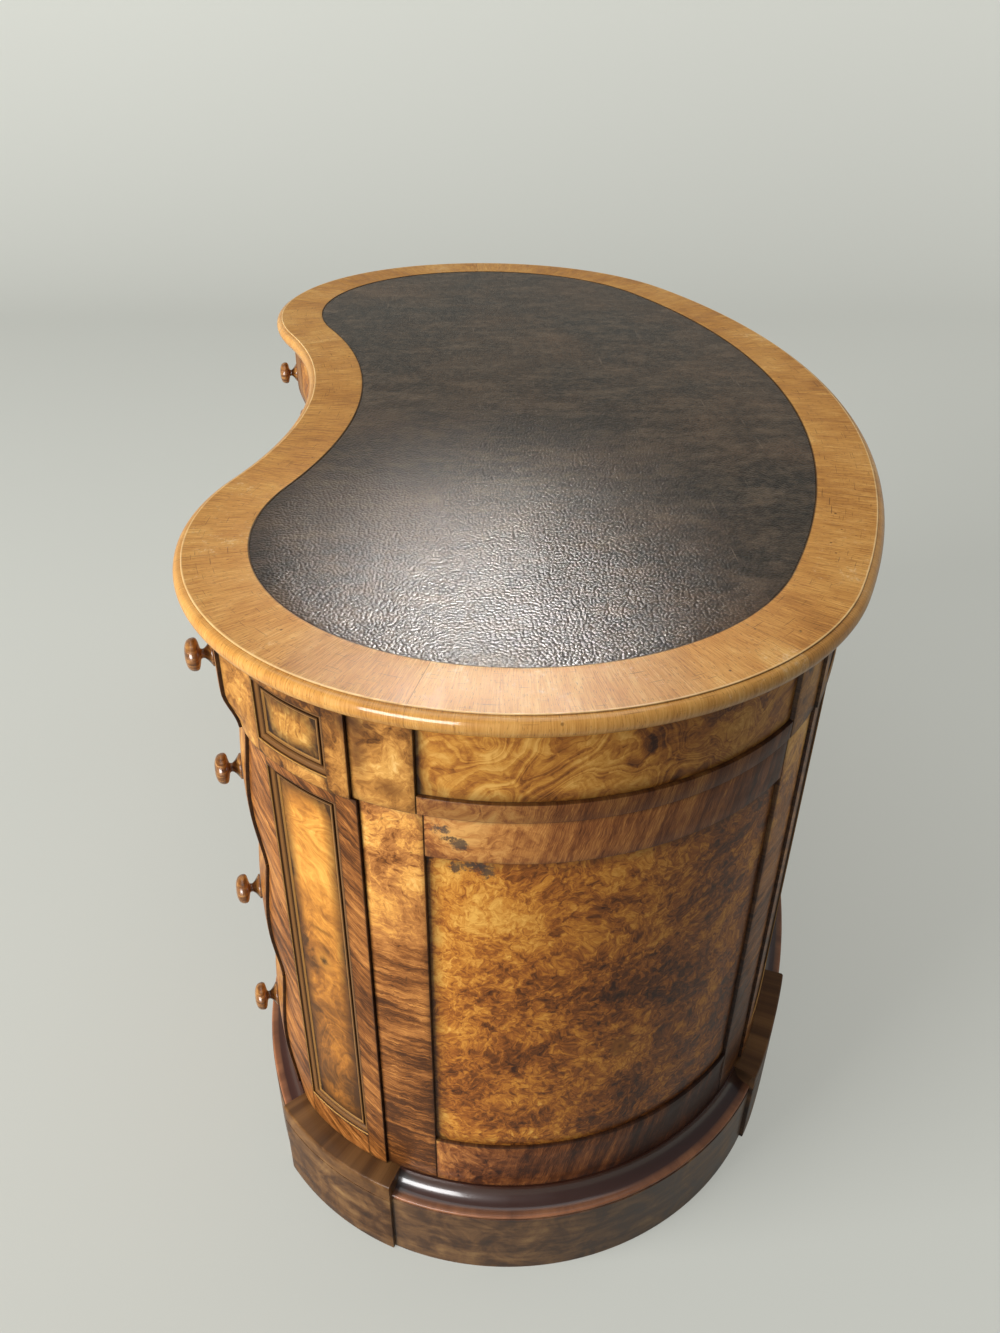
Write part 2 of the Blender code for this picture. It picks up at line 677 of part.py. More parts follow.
def plinth_section(is_block, back=PLINTH_BACK):
    """Plinth face from the floor up: plain block, or plain face with a quirk, bead and cove above it."""
    shelf = PLINTH_HEIGHT - MOULDED_HEIGHT
    bead_head = shelf + QUIRK + BEAD
    head = PLINTH_HEIGHT - GAP
    cove = PILASTER_INSET + BAY_STEP - EASE
    if is_block:
        face = [(BLOCK_FACE, 0.0), (BLOCK_FACE, shelf), (BLOCK_FACE + QUIRK, shelf + QUIRK / 2),
                (BLOCK_FACE, shelf + QUIRK)]
        face += [(BLOCK_FACE, height) for height in evenly(bead_head, head - EASE, 2)]
        face.append((BLOCK_FACE + EASE, head))
    else:
        lip = PLINTH_FACE + 1.5 * QUIRK
        face = [(PLINTH_FACE, 0.0), (PLINTH_FACE, shelf), (lip, shelf + QUIRK / 2),
                (PLINTH_FACE + QUIRK / 2, shelf + QUIRK), (lip, bead_head)]
        for share in (0.35, 0.7, 1.0):
            bend = share * math.pi / 2
            face.append((lip + (cove - lip) * math.sin(bend), bead_head + (head - bead_head) * (1 - math.cos(bend))))
    return face + [(back, head), (back, 0.0)]


def pedestal_plinth(side, name):
    """Plinth round the pedestal: moulded runs, and plain blocks that stand out under the pilasters."""
    runs = (
        (evenly(BLOCK_END, BLOCK_FRONT, 4), True),
        (evenly(BLOCK_FRONT - STEP_TURN, BLOCK_BACK + STEP_TURN, 9), False),
        (evenly(BLOCK_BACK, PILASTER_BACK, 3), True),
    )
    lines = [plinth_line(share) for share in evenly(0.0, 1.0, FRONT_STEPS)]
    sections = [plinth_section(False, PLINTH_RAIL_BACK)] * len(lines)
    for turns, is_block in runs:
        lines += [turned(turn) for turn in turns]
        sections += [plinth_section(is_block)] * len(turns)
    inner_end = wall(PILASTER_BACK - STEP_TURN, 0.0).x
    lines += [across_back(x) for x in evenly(inner_end, KNEEHOLE_HALF, 2)]
    sections += [plinth_section(False)] * 3
    loft("plinth_" + name, lines, sections, "dark walnut", side)


# Kneehole back: recessed field between rails, with its own length of plinth.
kneehole_reach = KNEEHOLE_HALF - GAP
kneehole_xs = [(x, True) for x in evenly(-kneehole_reach, kneehole_reach, 6)]
kneehole_levels = sorted([PEDESTAL.foot, PEDESTAL.head] + rail_steps(PEDESTAL))
knee_lines, knee_sections = back_bay_lines(PEDESTAL, kneehole_levels, kneehole_xs, [])
loft("kneehole_back", knee_lines, closed(knee_sections, PEDESTAL), "walnut veneer")
loft("kneehole_plinth", knee_lines, [plinth_section(False)] * len(knee_lines), "dark walnut")


def drawer_box(name, front_line, inset, foot, head, side, holder):
    """Open box behind a drawer front: bottom, two sides and a back, scribed to the back of the front."""
    shares = evenly(0.0, 1.0, FRONT_STEPS)
    rim = sorted((front_line(share)(inset) for share in shares), key=lambda spot: spot.x)
    low = rim[0].x + SLIDE_GAP
    high = rim[-1].x - SLIDE_GAP
    rear = HORN_FRONT + inset + DRAWER_LENGTH - EASE

    def scribed(x):
        for first, second in zip(rim, rim[1:]):
            if x <= second.x:
                break
        share = (x - first.x) / (second.x - first.x)
        return Vector((x, first.y + share * (second.y - first.y) + GAP))

    inner = [scribed(low + BOX_WALL)]
    inner += [scribed(spot.x) for spot in rim if low + 2 * BOX_WALL < spot.x < high - 2 * BOX_WALL]
    inner.append(scribed(high - BOX_WALL))
    outer = [scribed(low), scribed(high), Vector((high, rear)), Vector((low, rear))]
    pocket = [Vector((high - BOX_WALL, rear - BOX_WALL)), Vector((low + BOX_WALL, rear - BOX_WALL))]
    points = []

    def layer(spots, height):
        start = len(points)
        points.extend((side * spot.x, spot.y, height) for spot in spots)
        return list(range(start, len(points)))

    base_outer = layer(outer, foot)
    base_inner = layer(inner, foot)
    deck_inner = layer(inner, foot + BOX_FLOOR)
    deck_pocket = layer(pocket, foot + BOX_FLOOR)
    rim_outer = layer(outer, head)
    rim_ends = layer((inner[0], inner[-1]), head)
    rim_pocket = layer(pocket, head)
    front_left, front_right, back_right, back_left = range(4)
    faces = [
        [base_outer[front_left], *base_inner, *base_outer[1:]],
        [*deck_inner, *deck_pocket],
        [rim_outer[front_left], rim_ends[0], rim_pocket[1], rim_pocket[0], rim_ends[1], *rim_outer[1:]],
        [base_outer[front_left], base_inner[0], deck_inner[0], rim_ends[0], rim_outer[front_left]],
        [base_outer[front_right], base_inner[-1], deck_inner[-1], rim_ends[1], rim_outer[front_right]],
        [deck_inner[0], deck_pocket[1], rim_pocket[1], rim_ends[0]],
        [deck_inner[-1], deck_pocket[0], rim_pocket[0], rim_ends[1]],
        [deck_pocket[0], deck_pocket[1], rim_pocket[1], rim_pocket[0]],
    ]
    for first, second in ((front_right, back_right), (back_right, back_left), (back_left, front_left)):
        faces.append([base_outer[first], base_outer[second], rim_outer[second], rim_outer[first]])
    for k in range(len(inner) - 1):
        faces.append([base_inner[k], base_inner[k + 1], deck_inner[k + 1], deck_inner[k]])
    piece(name, points, faces, "drawer oak", holder)


def knob(name, x, height, face_tree, holder):
    """Turned mushroom knob, square to the drawer front, its flared collar scribed to the face.

    The collar is lifted until it clears the swell of the face between its middle and its rim.
    """
    profile = (
        (0.80 * COLLAR_RADIUS, 0.07),
        (0.45 * COLLAR_RADIUS, 0.20),
        (0.33 * COLLAR_RADIUS, 0.36),
        (0.55 * KNOB_RADIUS, 0.50),
        (0.97 * KNOB_RADIUS, 0.62),
        (KNOB_RADIUS, 0.70),
        (0.80 * KNOB_RADIUS, 0.90),
        (0.40 * KNOB_RADIUS, 1.0),
    )

    def met(start, towards):
        return face_tree.ray_cast(start, towards)[0]

    inward = Vector((0.0, 1.0, 0.0))
    near, foot, far = (met(Vector((x + shift, -DEPTH, height)), inward)
                       for shift in (-COLLAR_RADIUS, 0.0, COLLAR_RADIUS))
    along = (far - near).normalized()
    up = Vector((0.0, 0.0, 1.0))
    outward = along.cross(up)
    foot += outward * GAP
    spokes = [along * math.cos(turn) + up * math.sin(turn)
              for turn in (2 * math.pi * k / KNOB_SIDES for k in range(KNOB_SIDES))]
    rim, middle = ([met(foot + spoke * radius + outward * KNOB_LENGTH, -outward) + outward * GAP
                    for spoke in spokes] for radius in (COLLAR_RADIUS, COLLAR_RADIUS / 2))
    lift = max(0.0, max((spot - (foot + edge) / 2).dot(outward) for spot, edge in zip(middle, rim)))
    foot += outward * lift
    seat = [spot + outward * lift for spot in rim]
    rise = max((spot - foot).dot(outward) for spot in seat)
    rings = [seat]
    for radius, share in profile:
        centre = foot + outward * (rise + (KNOB_LENGTH - rise) * share)
        rings.append([centre + spoke * radius for spoke in spokes])
    points = [spot for ring in rings for spot in ring] + [foot]
    faces = skin_faces(KNOB_SIDES, len(rings), [0.0] * len(points))[1:]
    faces += [(k, (k + 1) % KNOB_SIDES, len(points) - 1) for k in range(KNOB_SIDES)]
    piece(name, points, faces, "turned walnut", holder)


def drawer(name, tier, storey, deck, ceiling, front_line, spread, side=1):
    """One drawer on its slide: shaped front, box and two knobs, all hung on a holder at the front."""
    foot = tier[0] + SLIDE_GAP
    head = tier[1] - SLIDE_GAP
    middle = (front_line(0.0)(storey.front_back) + front_line(1.0)(front_inset(tier[0]))) / 2
    knob_height = (tier[0] + tier[1]) / 2 - KNOB_DROP
    holder = bpy.data.objects.new(name + "_slide", None)
    holder.location = (side * middle.x, front_line(0.5)(storey.front_back).y, knob_height)
    bpy.context.scene.collection.objects.link(holder)
    face = [(front_inset(height), height) for height in evenly(foot, head, FRONT_STEPS)]
    section = face + [(storey.front_back, head), (storey.front_back, foot)]
    shares = evenly(0.0, 1.0, FRONT_STEPS)
    lines = [front_line(share) for share in shares]
    sections = [section] * len(lines)
    loft(name + "_front", lines, sections, "walnut veneer", side, holder)
    points, hints = loft_points(lines, sections, side)
    face_tree = BVHTree.FromPolygons(points, skin_faces(len(section), len(lines), hints))
    drawer_box(name + "_box", front_line, storey.front_back, deck + EASE / 2, ceiling - HEADROOM, side, holder)
    for label, offset in (("inner", -spread), ("outer", spread)):
        knob(name + "_knob_" + label, side * (middle.x + offset), knob_height, face_tree, holder)


# Pedestals, each with three drawers, and the frieze drawers over them.
for side, name in ((1, "right"), (-1, "left")):
    upright("frieze_divider_" + name, side, divider_outline)
    upright("cheek_" + name, side, cheek_outline)
    drawer_frame(side, "drawer_frame_" + name)
    pedestal_end(side, name)
    pedestal_pilaster(side, name)
    pedestal_back(side, name)
    pedestal_plinth(side, name)
    for tier, label in zip(TIERS, ("lower", "middle", "upper")):
        is_lowest = tier[0] == PLINTH_HEIGHT
        deck = tier[0] + SHELF_THICK * (1.0 if is_lowest else 0.5)
        drawer("drawer_" + name + "_" + label, tier, PEDESTAL, deck, tier[1] - SHELF_THICK / 2,
               horn_line, KNOB_SPREAD, side)
    drawer("drawer_" + name + "_frieze", FRIEZE_TIER, FRIEZE, FRIEZE_FOOT + FLOOR_THICK, FRIEZE_TOP,
           horn_line, KNOB_SPREAD, side)
drawer("drawer_centre_frieze", FRIEZE_TIER, FRIEZE, FRIEZE_FOOT + FLOOR_THICK, FRIEZE_TOP,
       centre_line, CENTRE_KNOB_SPREAD)
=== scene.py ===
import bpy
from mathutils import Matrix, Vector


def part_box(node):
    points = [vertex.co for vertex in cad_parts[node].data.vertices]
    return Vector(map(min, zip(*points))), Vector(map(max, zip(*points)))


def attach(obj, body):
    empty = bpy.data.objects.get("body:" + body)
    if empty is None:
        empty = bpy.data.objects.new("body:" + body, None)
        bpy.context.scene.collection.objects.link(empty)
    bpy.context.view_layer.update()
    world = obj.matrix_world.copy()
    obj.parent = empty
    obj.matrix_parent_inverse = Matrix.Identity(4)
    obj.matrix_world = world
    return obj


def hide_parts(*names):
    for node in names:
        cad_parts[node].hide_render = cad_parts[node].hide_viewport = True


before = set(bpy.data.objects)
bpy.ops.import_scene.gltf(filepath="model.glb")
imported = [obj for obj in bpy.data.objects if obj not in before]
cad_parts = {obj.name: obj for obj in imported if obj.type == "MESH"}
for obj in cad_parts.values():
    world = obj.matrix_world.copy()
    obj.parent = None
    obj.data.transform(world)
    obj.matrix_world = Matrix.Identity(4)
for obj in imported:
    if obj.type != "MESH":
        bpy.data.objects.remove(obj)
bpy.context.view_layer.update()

import math

import bmesh
import bpy
from mathutils import Matrix, Vector

# Plinth: a dark walnut base under each pedestal and across the kneehole. Moulded runs, worked with a bead
# and a cove along their head, meet plain blocks that stand out under the corner pilasters. Each length is
# drawn flat, as a maker lays it out, and bent round the desk's plan.
BACK_RADIUS, BACK_TURN = 1.061, 28.0
END_RADIUS, END_TURN = 0.336, 108.0
HORN_RADIUS = 0.304
HOLLOW_DEPTH = 0.080
FACE_INSET, WALL_INSET = 0.023, 0.0455
BAY_FRONT_TURN = 118.0
BAY_WIDTH = 0.465
PILASTER_WIDTH, BACK_PILASTER_WIDTH = 0.147, 0.143
KNEEHOLE_HALF = 0.2315
PLINTH_HEIGHT, PLINTH_SHELF = 0.117, 0.091
PLINTH_INSET, PLINTH_BACK, FRONT_PLINTH_BACK = 0.003, 0.040, 0.060
PLINTH_BOW, FRONT_CLEAR = 0.0275, 0.05
BLOCK_LAP, BLOCK_PROUD, BLOCK_ARRIS = 0.015, 0.001, 0.003
QUIRK_HIGH, QUIRK_DEEP = 0.001, 0.003
BEAD_HIGH, BEAD_PROUD = 0.005, 0.0024
COVE_DEEP, GROOVE_DEEP = 0.0185, 0.002
FIT = 0.0003
FINE_STEP = 0.006
GUIDE_STEPS = 60
SHARP_ANGLE = 32.0


def facing(turn):
    """Direction in plan of a turn, in degrees clockwise from the back of the desk."""
    return Vector((math.sin(math.radians(turn)), math.cos(math.radians(turn))))


back_centre = Vector((0.0, -BACK_RADIUS))
end_centre = back_centre + (BACK_RADIUS - END_RADIUS) * facing(BACK_TURN)
horn_centre = end_centre + (END_RADIUS - HORN_RADIUS) * facing(END_TURN)
depth = HORN_RADIUS - horn_centre.y
hollow_radius = (horn_centre.x ** 2 + HOLLOW_DEPTH ** 2) / (2 * HOLLOW_DEPTH) - HORN_RADIUS
hollow_centre = Vector((0.0, HOLLOW_DEPTH - depth - hollow_radius))
hollow_turn = math.degrees(math.atan2(horn_centre.x, horn_centre.y - hollow_centre.y))
horn_turn = 180.0 + hollow_turn
for centre in (back_centre, end_centre, horn_centre, hollow_centre):
    centre.y += depth / 2
arcs = (
    (BACK_TURN, back_centre, BACK_RADIUS),
    (END_TURN, end_centre, END_RADIUS),
    (360.0, horn_centre, HORN_RADIUS),
)


def wall_spot(turn, inset):
    """Plan point of the outline, moved inward by an inset, where it faces a turn."""
    centre, radius = next(arc[1:] for arc in arcs if turn <= arc[0])
    return centre + (radius - inset) * facing(turn)


def front_spot(x, inset):
    """Plan point of the front line at x: on the horn, or in the hollow between the horns."""
    if abs(x) < wall_spot(horn_turn, inset).x:
        return Vector((x, hollow_centre.y + math.sqrt((hollow_radius + inset) ** 2 - x ** 2)))
    return Vector((x, horn_centre.y - math.sqrt((HORN_RADIUS - inset) ** 2 - (abs(x) - horn_centre.x) ** 2)))


def along(turn):
    """Distance along the pilaster face, from the far end of the back's arc, to where it faces a turn."""
    length, before = 0.0, -BACK_TURN
    for limit, _, radius in arcs:
        length += math.radians(max(0.0, min(turn, limit) - before)) * (radius - FACE_INSET)
        before = limit
    return length


def turn_along(length):
    """Turn that the pilaster face has at a distance along it."""
    low, high = -BACK_TURN, horn_turn
    for _ in range(50):
        middle = (low + high) / 2
        low, high = (middle, high) if along(middle) < length else (low, middle)
    return low


back_middle = along(0.0)
bay_front = along(BAY_FRONT_TURN)
bay_back = bay_front - BAY_WIDTH
pilaster_front = bay_front + PILASTER_WIDTH
pilaster_back = bay_back - BACK_PILASTER_WIDTH
block_end = pilaster_front - BLOCK_LAP
kneehole_turn = math.asin(KNEEHOLE_HALF / (BACK_RADIUS - WALL_INSET))
kneehole_end = back_middle + kneehole_turn * (BACK_RADIUS - FACE_INSET)
kneehole_start = 2 * back_middle - kneehole_end


def shown(name, data):
    """New object in the scene."""
    made = bpy.data.objects.new(name, data)
    bpy.context.scene.collection.objects.link(made)
    return made


def guide_line(name, spots):
    """Open line in plan that boards are bent along; taken away once the last board is bent."""
    line = bpy.data.curves.new(name, "CURVE")
    line.dimensions = "3D"
    spline = line.splines.new("POLY")
    spline.points.add(len(spots) - 1)
    for point, spot in zip(spline.points, spots):
        point.co = (spot.x, spot.y, 0.0, 1.0)
    return shown(name, line)


def straightened(name, spots, first_deep, last_deep, deep):
    """Guide along spots, run on straight at both ends; gives its ends and how far each leans with depth."""
    spare = 0.04
    first = (spots[1] - spots[0]).normalized()
    last = (spots[-1] - spots[-2]).normalized()
    length = sum((b - a).length for a, b in zip(spots, spots[1:]))
    line = guide_line(name, [spots[0] - first * spare, *spots, spots[-1] + last * spare])
    leans = ((first_deep - spots[0]).dot(first) / deep, (last_deep - spots[-1]).dot(last) / deep)
    return line, spare, spare + length, leans


def bowed_front(name, inner_x, outer_turn, bow, inset, deep):
    """Guide for a flat bow from an upright to a pilaster, with what a board needs to end square."""
    def spot(share, inward):
        place = front_spot(inner_x, inward).lerp(wall_spot(outer_turn, inward), share)
        place.y -= 4 * bow * share * (1 - share)
        return place

    spots = [spot(1 - k / GUIDE_STEPS, inset) for k in range(GUIDE_STEPS + 1)]
    return straightened(name, spots, spot(1.0, deep), spot(0.0, deep), deep - inset)


def evenly(start, end, step):
    """Values from start to end, both included, no further apart than a step."""
    count = max(1, math.ceil((end - start) / step - 1e-6))
    return [start + (end - start) * k / count for k in range(count + 1)]


def board(start, end, levels, face, back, soft=0.0008, step=0.008, leans=(0.0, 0.0),
          under=(0.0, 0.0, 0.0, 0.0)):
    """Flat closed board: along the wall, out to a face that is level or shaped, and up. Its arrises are
    rubbed down by soft, and under gives what a frame hides of it at its start, end, foot and head."""
    stations = evenly(start, end, step)
    if soft:
        edges = (0.3 * soft, soft)
        stations = sorted(stations + [start + e for e in edges] + [end - e for e in edges])
        levels = sorted(set(levels) | {levels[0] + e for e in edges} | {levels[-1] - e for e in edges})
    foot, head = levels[0], levels[-1]
    points, rims, behind = [], [], []
    for s in stations:
        lean = leans[0] + (leans[1] - leans[0]) * (s - start) / (end - start)
        for z in levels:
            gaps = (s - start, end - s, z - foot, head - z)
            rim = max(0.0, min(gaps))
            out = face(s, z) if callable(face) else face
            if rim < soft:
                out -= soft * (1 - math.sqrt(1 - (1 - rim / soft) ** 2))
            points.append((s - lean * out, out, z))
            rims.append(min(gap - hidden for gap, hidden in zip(gaps, under)))
        behind += [(s - lean * back, back, foot), (s - lean * back, back, head)]
    high, wide, first = len(levels), len(stations), len(points)
    faces = []
    for i in range(wide - 1):
        a, low = i * high, first + 2 * i
        faces += [(a + j, a + high + j, a + high + j + 1, a + j + 1) for j in range(high - 1)]
        faces += [(low, low + 1, low + 3, low + 2), (a, low, low + 2, a + high)]
        faces.append((a + high - 1, a + 2 * high - 1, low + 3, low + 1))
    faces.append([*range(high), first + 1, first])
    faces.append([*range((wide - 1) * high, wide * high), first + 2 * wide - 1, first + 2 * wide - 2])
    points += behind
    rims += [0.0] * len(behind)
    return points, faces, [[(points[k][0], points[k][2]) for k in face] for face in faces], rims


def drawn(name, drawings):
    """One mesh from flat drawings, with its map in metres and the distance to the nearest edge."""
    points, faces, corners, rims = [], [], [], []
    for part_points, part_faces, part_corners, part_rims in drawings:
        faces += [[k + len(points) for k in face] for face in part_faces]
        points += part_points
        corners += part_corners
        rims += part_rims
    mesh = bpy.data.meshes.new(name)
    mesh.from_pydata(points, [], faces)
    chart = mesh.uv_layers.new(name="UVMap")
    for polygon, spots in zip(mesh.polygons, corners):
        for loop, spot in zip(polygon.loop_indices, spots):
            chart.data[loop].uv = spot
    mesh.attributes.new("rim", "FLOAT", "POINT").data.foreach_set("value", rims)
    body = bmesh.new()
    body.from_mesh(mesh)
    bmesh.ops.recalc_face_normals(body, faces=body.faces)
    for face in body.faces:
        face.smooth = True
    body.to_mesh(mesh)
    body.free()
    mesh.set_sharp_from_angle(angle=math.radians(SHARP_ANGLE))
    return mesh


def colour(code):
    """Linear colour of a screen colour code."""
    parts = [int(code[k:k + 2], 16) / 255 for k in (1, 3, 5)]
    return (*(p / 12.92 if p <= 0.04045 else ((p + 0.055) / 1.055) ** 2.4 for p in parts), 1.0)


def per(size):
    """Repeats to a metre of a pattern whose marks are a size in millimetres apart."""
    return 1000.0 / size


def wire(tree, node, sockets):
    """Sets or links the sockets of a node, by name or in their order."""
    for name, value in sockets.items() if isinstance(sockets, dict) else enumerate(sockets):
        if isinstance(value, bpy.types.NodeSocket):
            tree.links.new(value, node.inputs[name])
        else:
            node.inputs[name].default_value = value


def add(tree, kind, sockets=(), out=0, stops=(), **settings):
    """Adds one node with its settings, its stops if it is a ramp or a curve, and its values or links; gives
    one of its outputs. A kind that doesn't name its family is a shader node, and may have an operation."""
    kind, _, operation = kind.partition(" ")
    made = tree.nodes.new(kind if "Node" in kind else "ShaderNode" + kind)
    if operation:
        made.operation = operation
    for name, value in settings.items():
        setattr(made, name, value)
    if stops and hasattr(made, "color_ramp"):
        ramp = made.color_ramp.elements
        while len(ramp) < len(stops):
            ramp.new(0.5)
        for element, (position, code) in zip(ramp, stops):
            element.position = position
            element.color = colour(code)
    elif stops:
        curve = made.mapping.curves[0]
        while len(curve.points) < len(stops):
            curve.points.new(0.5, 0.5)
        for point, stop in zip(curve.points, stops):
            point.location = stop
        made.mapping.update()
    wire(tree, made, sockets)
    return made.outputs[out]


def new_tree(name, sockets):
    """Geometry tree with named inputs, besides the geometry and the finish; gives what comes in."""
    tree = bpy.data.node_groups.new(name, "GeometryNodeTree")
    for label, kind in (("Geometry", "Geometry"), *sockets, ("Finish", "Material")):
        tree.interface.new_socket(label, in_out="INPUT", socket_type="NodeSocket" + kind)
    tree.interface.new_socket("Geometry", in_out="OUTPUT", socket_type="NodeSocketGeometry")
    return tree, tree.nodes.new("NodeGroupInput").outputs


def close_tree(tree, geometry, finish):
    """Ends a geometry tree: its instances made real, with their finish."""
    whole = add(tree, "GeometryNodeRealizeInstances", (geometry,))
    done = add(tree, "GeometryNodeSetMaterial", {"Geometry": whole, "Material": finish})
    tree.links.new(done, tree.nodes.new("NodeGroupOutput").inputs["Geometry"])


bending, given = new_tree("bend round the plan", (("Guide line", "Object"), ("Other hand", "Bool")))
flat = add(bending, "SeparateXYZ", (add(bending, "GeometryNodeInputPosition"),)).node.outputs
plan = add(bending, "GeometryNodeObjectInfo", {"Object": given["Guide line"]}, "Geometry")
reached = add(bending, "GeometryNodeSampleCurve", {"Curves": plan, "Length": flat["X"]}, mode="LENGTH")
reached = reached.node.outputs
outward = add(bending, "VectorMath CROSS_PRODUCT", ((0.0, 0.0, 1.0), reached["Tangent"]))
outward = add(bending, "VectorMath SCALE", {0: outward, "Scale": flat["Y"]})
stood = add(bending, "VectorMath ADD", (reached["Position"], outward))
upward = add(bending, "CombineXYZ", {"Z": flat["Z"]})
stood = add(bending, "VectorMath ADD", (stood, upward))
bent_round = add(bending, "GeometryNodeSetPosition", {"Geometry": given["Geometry"], "Position": stood})
other = add(bending, "GeometryNodeTransform", {"Geometry": bent_round, "Scale": (-1.0, 1.0, 1.0)})
other = add(bending, "GeometryNodeFlipFaces", {"Mesh": other})
handed = add(bending, "GeometryNodeSwitch", {
    "Switch": given["Other hand"], "False": bent_round, "True": other}, input_type="GEOMETRY")
close_tree(bending, handed, given["Finish"])


def grown(name, mesh, tree, values):
    """Piece that a tree makes of a mesh, as a plain mesh at the origin."""
    holder = shown(name + "_start", mesh)
    modifier = holder.modifiers.new("tree", "NODES")
    modifier.node_group = tree
    for socket in tree.interface.items_tree:
        if socket.in_out == "INPUT" and socket.name in values:
            modifier[socket.identifier] = values[socket.name]
    bpy.context.view_layer.update()
    ready = holder.evaluated_get(bpy.context.evaluated_depsgraph_get())
    made = bpy.data.meshes.new_from_object(ready)
    holder.modifiers.remove(modifier)
    bpy.data.objects.remove(holder)
    return shown(name, made)


def settled(piece, body, solids):
    """Gives a piece its body, and puts it in the place of the solids that it stands for."""
    if solids:
        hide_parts(*solids)
    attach(piece, body)


def bent(name, drawings, finish, slot, *solids, line=None, body="desk"):
    """Boards, drawn flat, bent along a guide line or along the wall; one named left is the mirror image."""
    settled(grown(name, drawn(name, drawings), bending, {
        "Guide line": line or wall_line, "Other hand": "left" in name, "Finish": finish,
    }), body, solids)


wall_turns = evenly(-BACK_TURN, horn_turn, 0.5)
wall_line = guide_line("wall_line", [wall_spot(turn, FACE_INSET) for turn in wall_turns])
bead_head = PLINTH_SHELF + QUIRK_HIGH + BEAD_HIGH
plinth_head = PLINTH_HEIGHT - FIT
cove_high = plinth_head - bead_head


def moulded_out(height):
    """How far a moulded run stands out from its plain face at a height: quirk, bead and cove."""
    above = height - PLINTH_SHELF
    if above <= 0.0:
        return 0.0
    if above < QUIRK_HIGH:
        return -QUIRK_DEEP * above / QUIRK_HIGH
    if height <= bead_head:
        share = (above - QUIRK_HIGH) / BEAD_HIGH
        return -QUIRK_DEEP + BEAD_PROUD * math.sqrt(max(0.0, 1 - (2 * share - 1) ** 2))
    share = (height - bead_head) / cove_high
    return -QUIRK_DEEP - COVE_DEEP * math.sqrt(max(0.0, 1 - (1 - share) ** 2))


def block_out(height):
    """How far a block stands out from its plain face at a height: a groove, and a rubbed top arris."""
    groove = abs(height - PLINTH_SHELF - QUIRK_HIGH) / QUIRK_HIGH
    if groove < 1.0:
        return -GROOVE_DEEP * (1 - groove)
    return -max(0.0, height - (plinth_head - BLOCK_ARRIS)) ** 2 / (2 * BLOCK_ARRIS)


shelf_levels = evenly(0.0, PLINTH_SHELF, 0.013)
run_levels = [*shelf_levels, PLINTH_SHELF + QUIRK_HIGH / 2]
run_levels += evenly(PLINTH_SHELF + QUIRK_HIGH, bead_head, 0.0006)
run_levels += [bead_head + cove_high * (1 - math.cos(k * math.pi / 24)) for k in range(1, 13)]
block_levels = shelf_levels + [PLINTH_SHELF + QUIRK_HIGH * k / 2 for k in range(1, 5)]
block_levels += evenly(bead_head, plinth_head - BLOCK_ARRIS, FINE_STEP)
block_levels += [plinth_head - BLOCK_ARRIS / 2, plinth_head]


def run_of_plinth(start, end):
    """Moulded length of plinth between two places along the wall."""
    return board(start, end, run_levels, lambda s, z: FACE_INSET - PLINTH_INSET + moulded_out(z),
                 FACE_INSET - PLINTH_BACK, soft=0.0)


def block_of_plinth(start, end):
    """Plain block of plinth between two places along the wall."""
    return board(start, end, block_levels, lambda s, z: FACE_INSET + BLOCK_PROUD + block_out(z),
                 FACE_INSET - PLINTH_BACK)


def new_finish(name):
    """New material, with its tree and its main shader."""
    material = bpy.data.materials.new(name)
    material.use_nodes = True
    return material, material.node_tree, material.node_tree.nodes["Principled BSDF"]


def figure(tree, spot, size, detail, rough=0.5, warp=0.0, turn=0.0, band=None):
    """Marks of a size in millimetres, drawn out and turned where each axis has its own size; a band gives
    the values between which they fade in, and how far."""
    sizes = size if isinstance(size, tuple) else (size, size, size)
    scale = (*map(per, sizes), 1.0)[:3]
    laid = add(tree, "Mapping", {"Vector": spot, "Rotation": (0.0, 0.0, turn), "Scale": scale})
    marks = add(tree, "TexNoise", {
        "Vector": laid, "Scale": 1.0, "Detail": detail, "Roughness": rough, "Distortion": warp})
    return add(tree, "MapRange", (marks, band[0], band[1], 0.0, band[2])) if band else marks


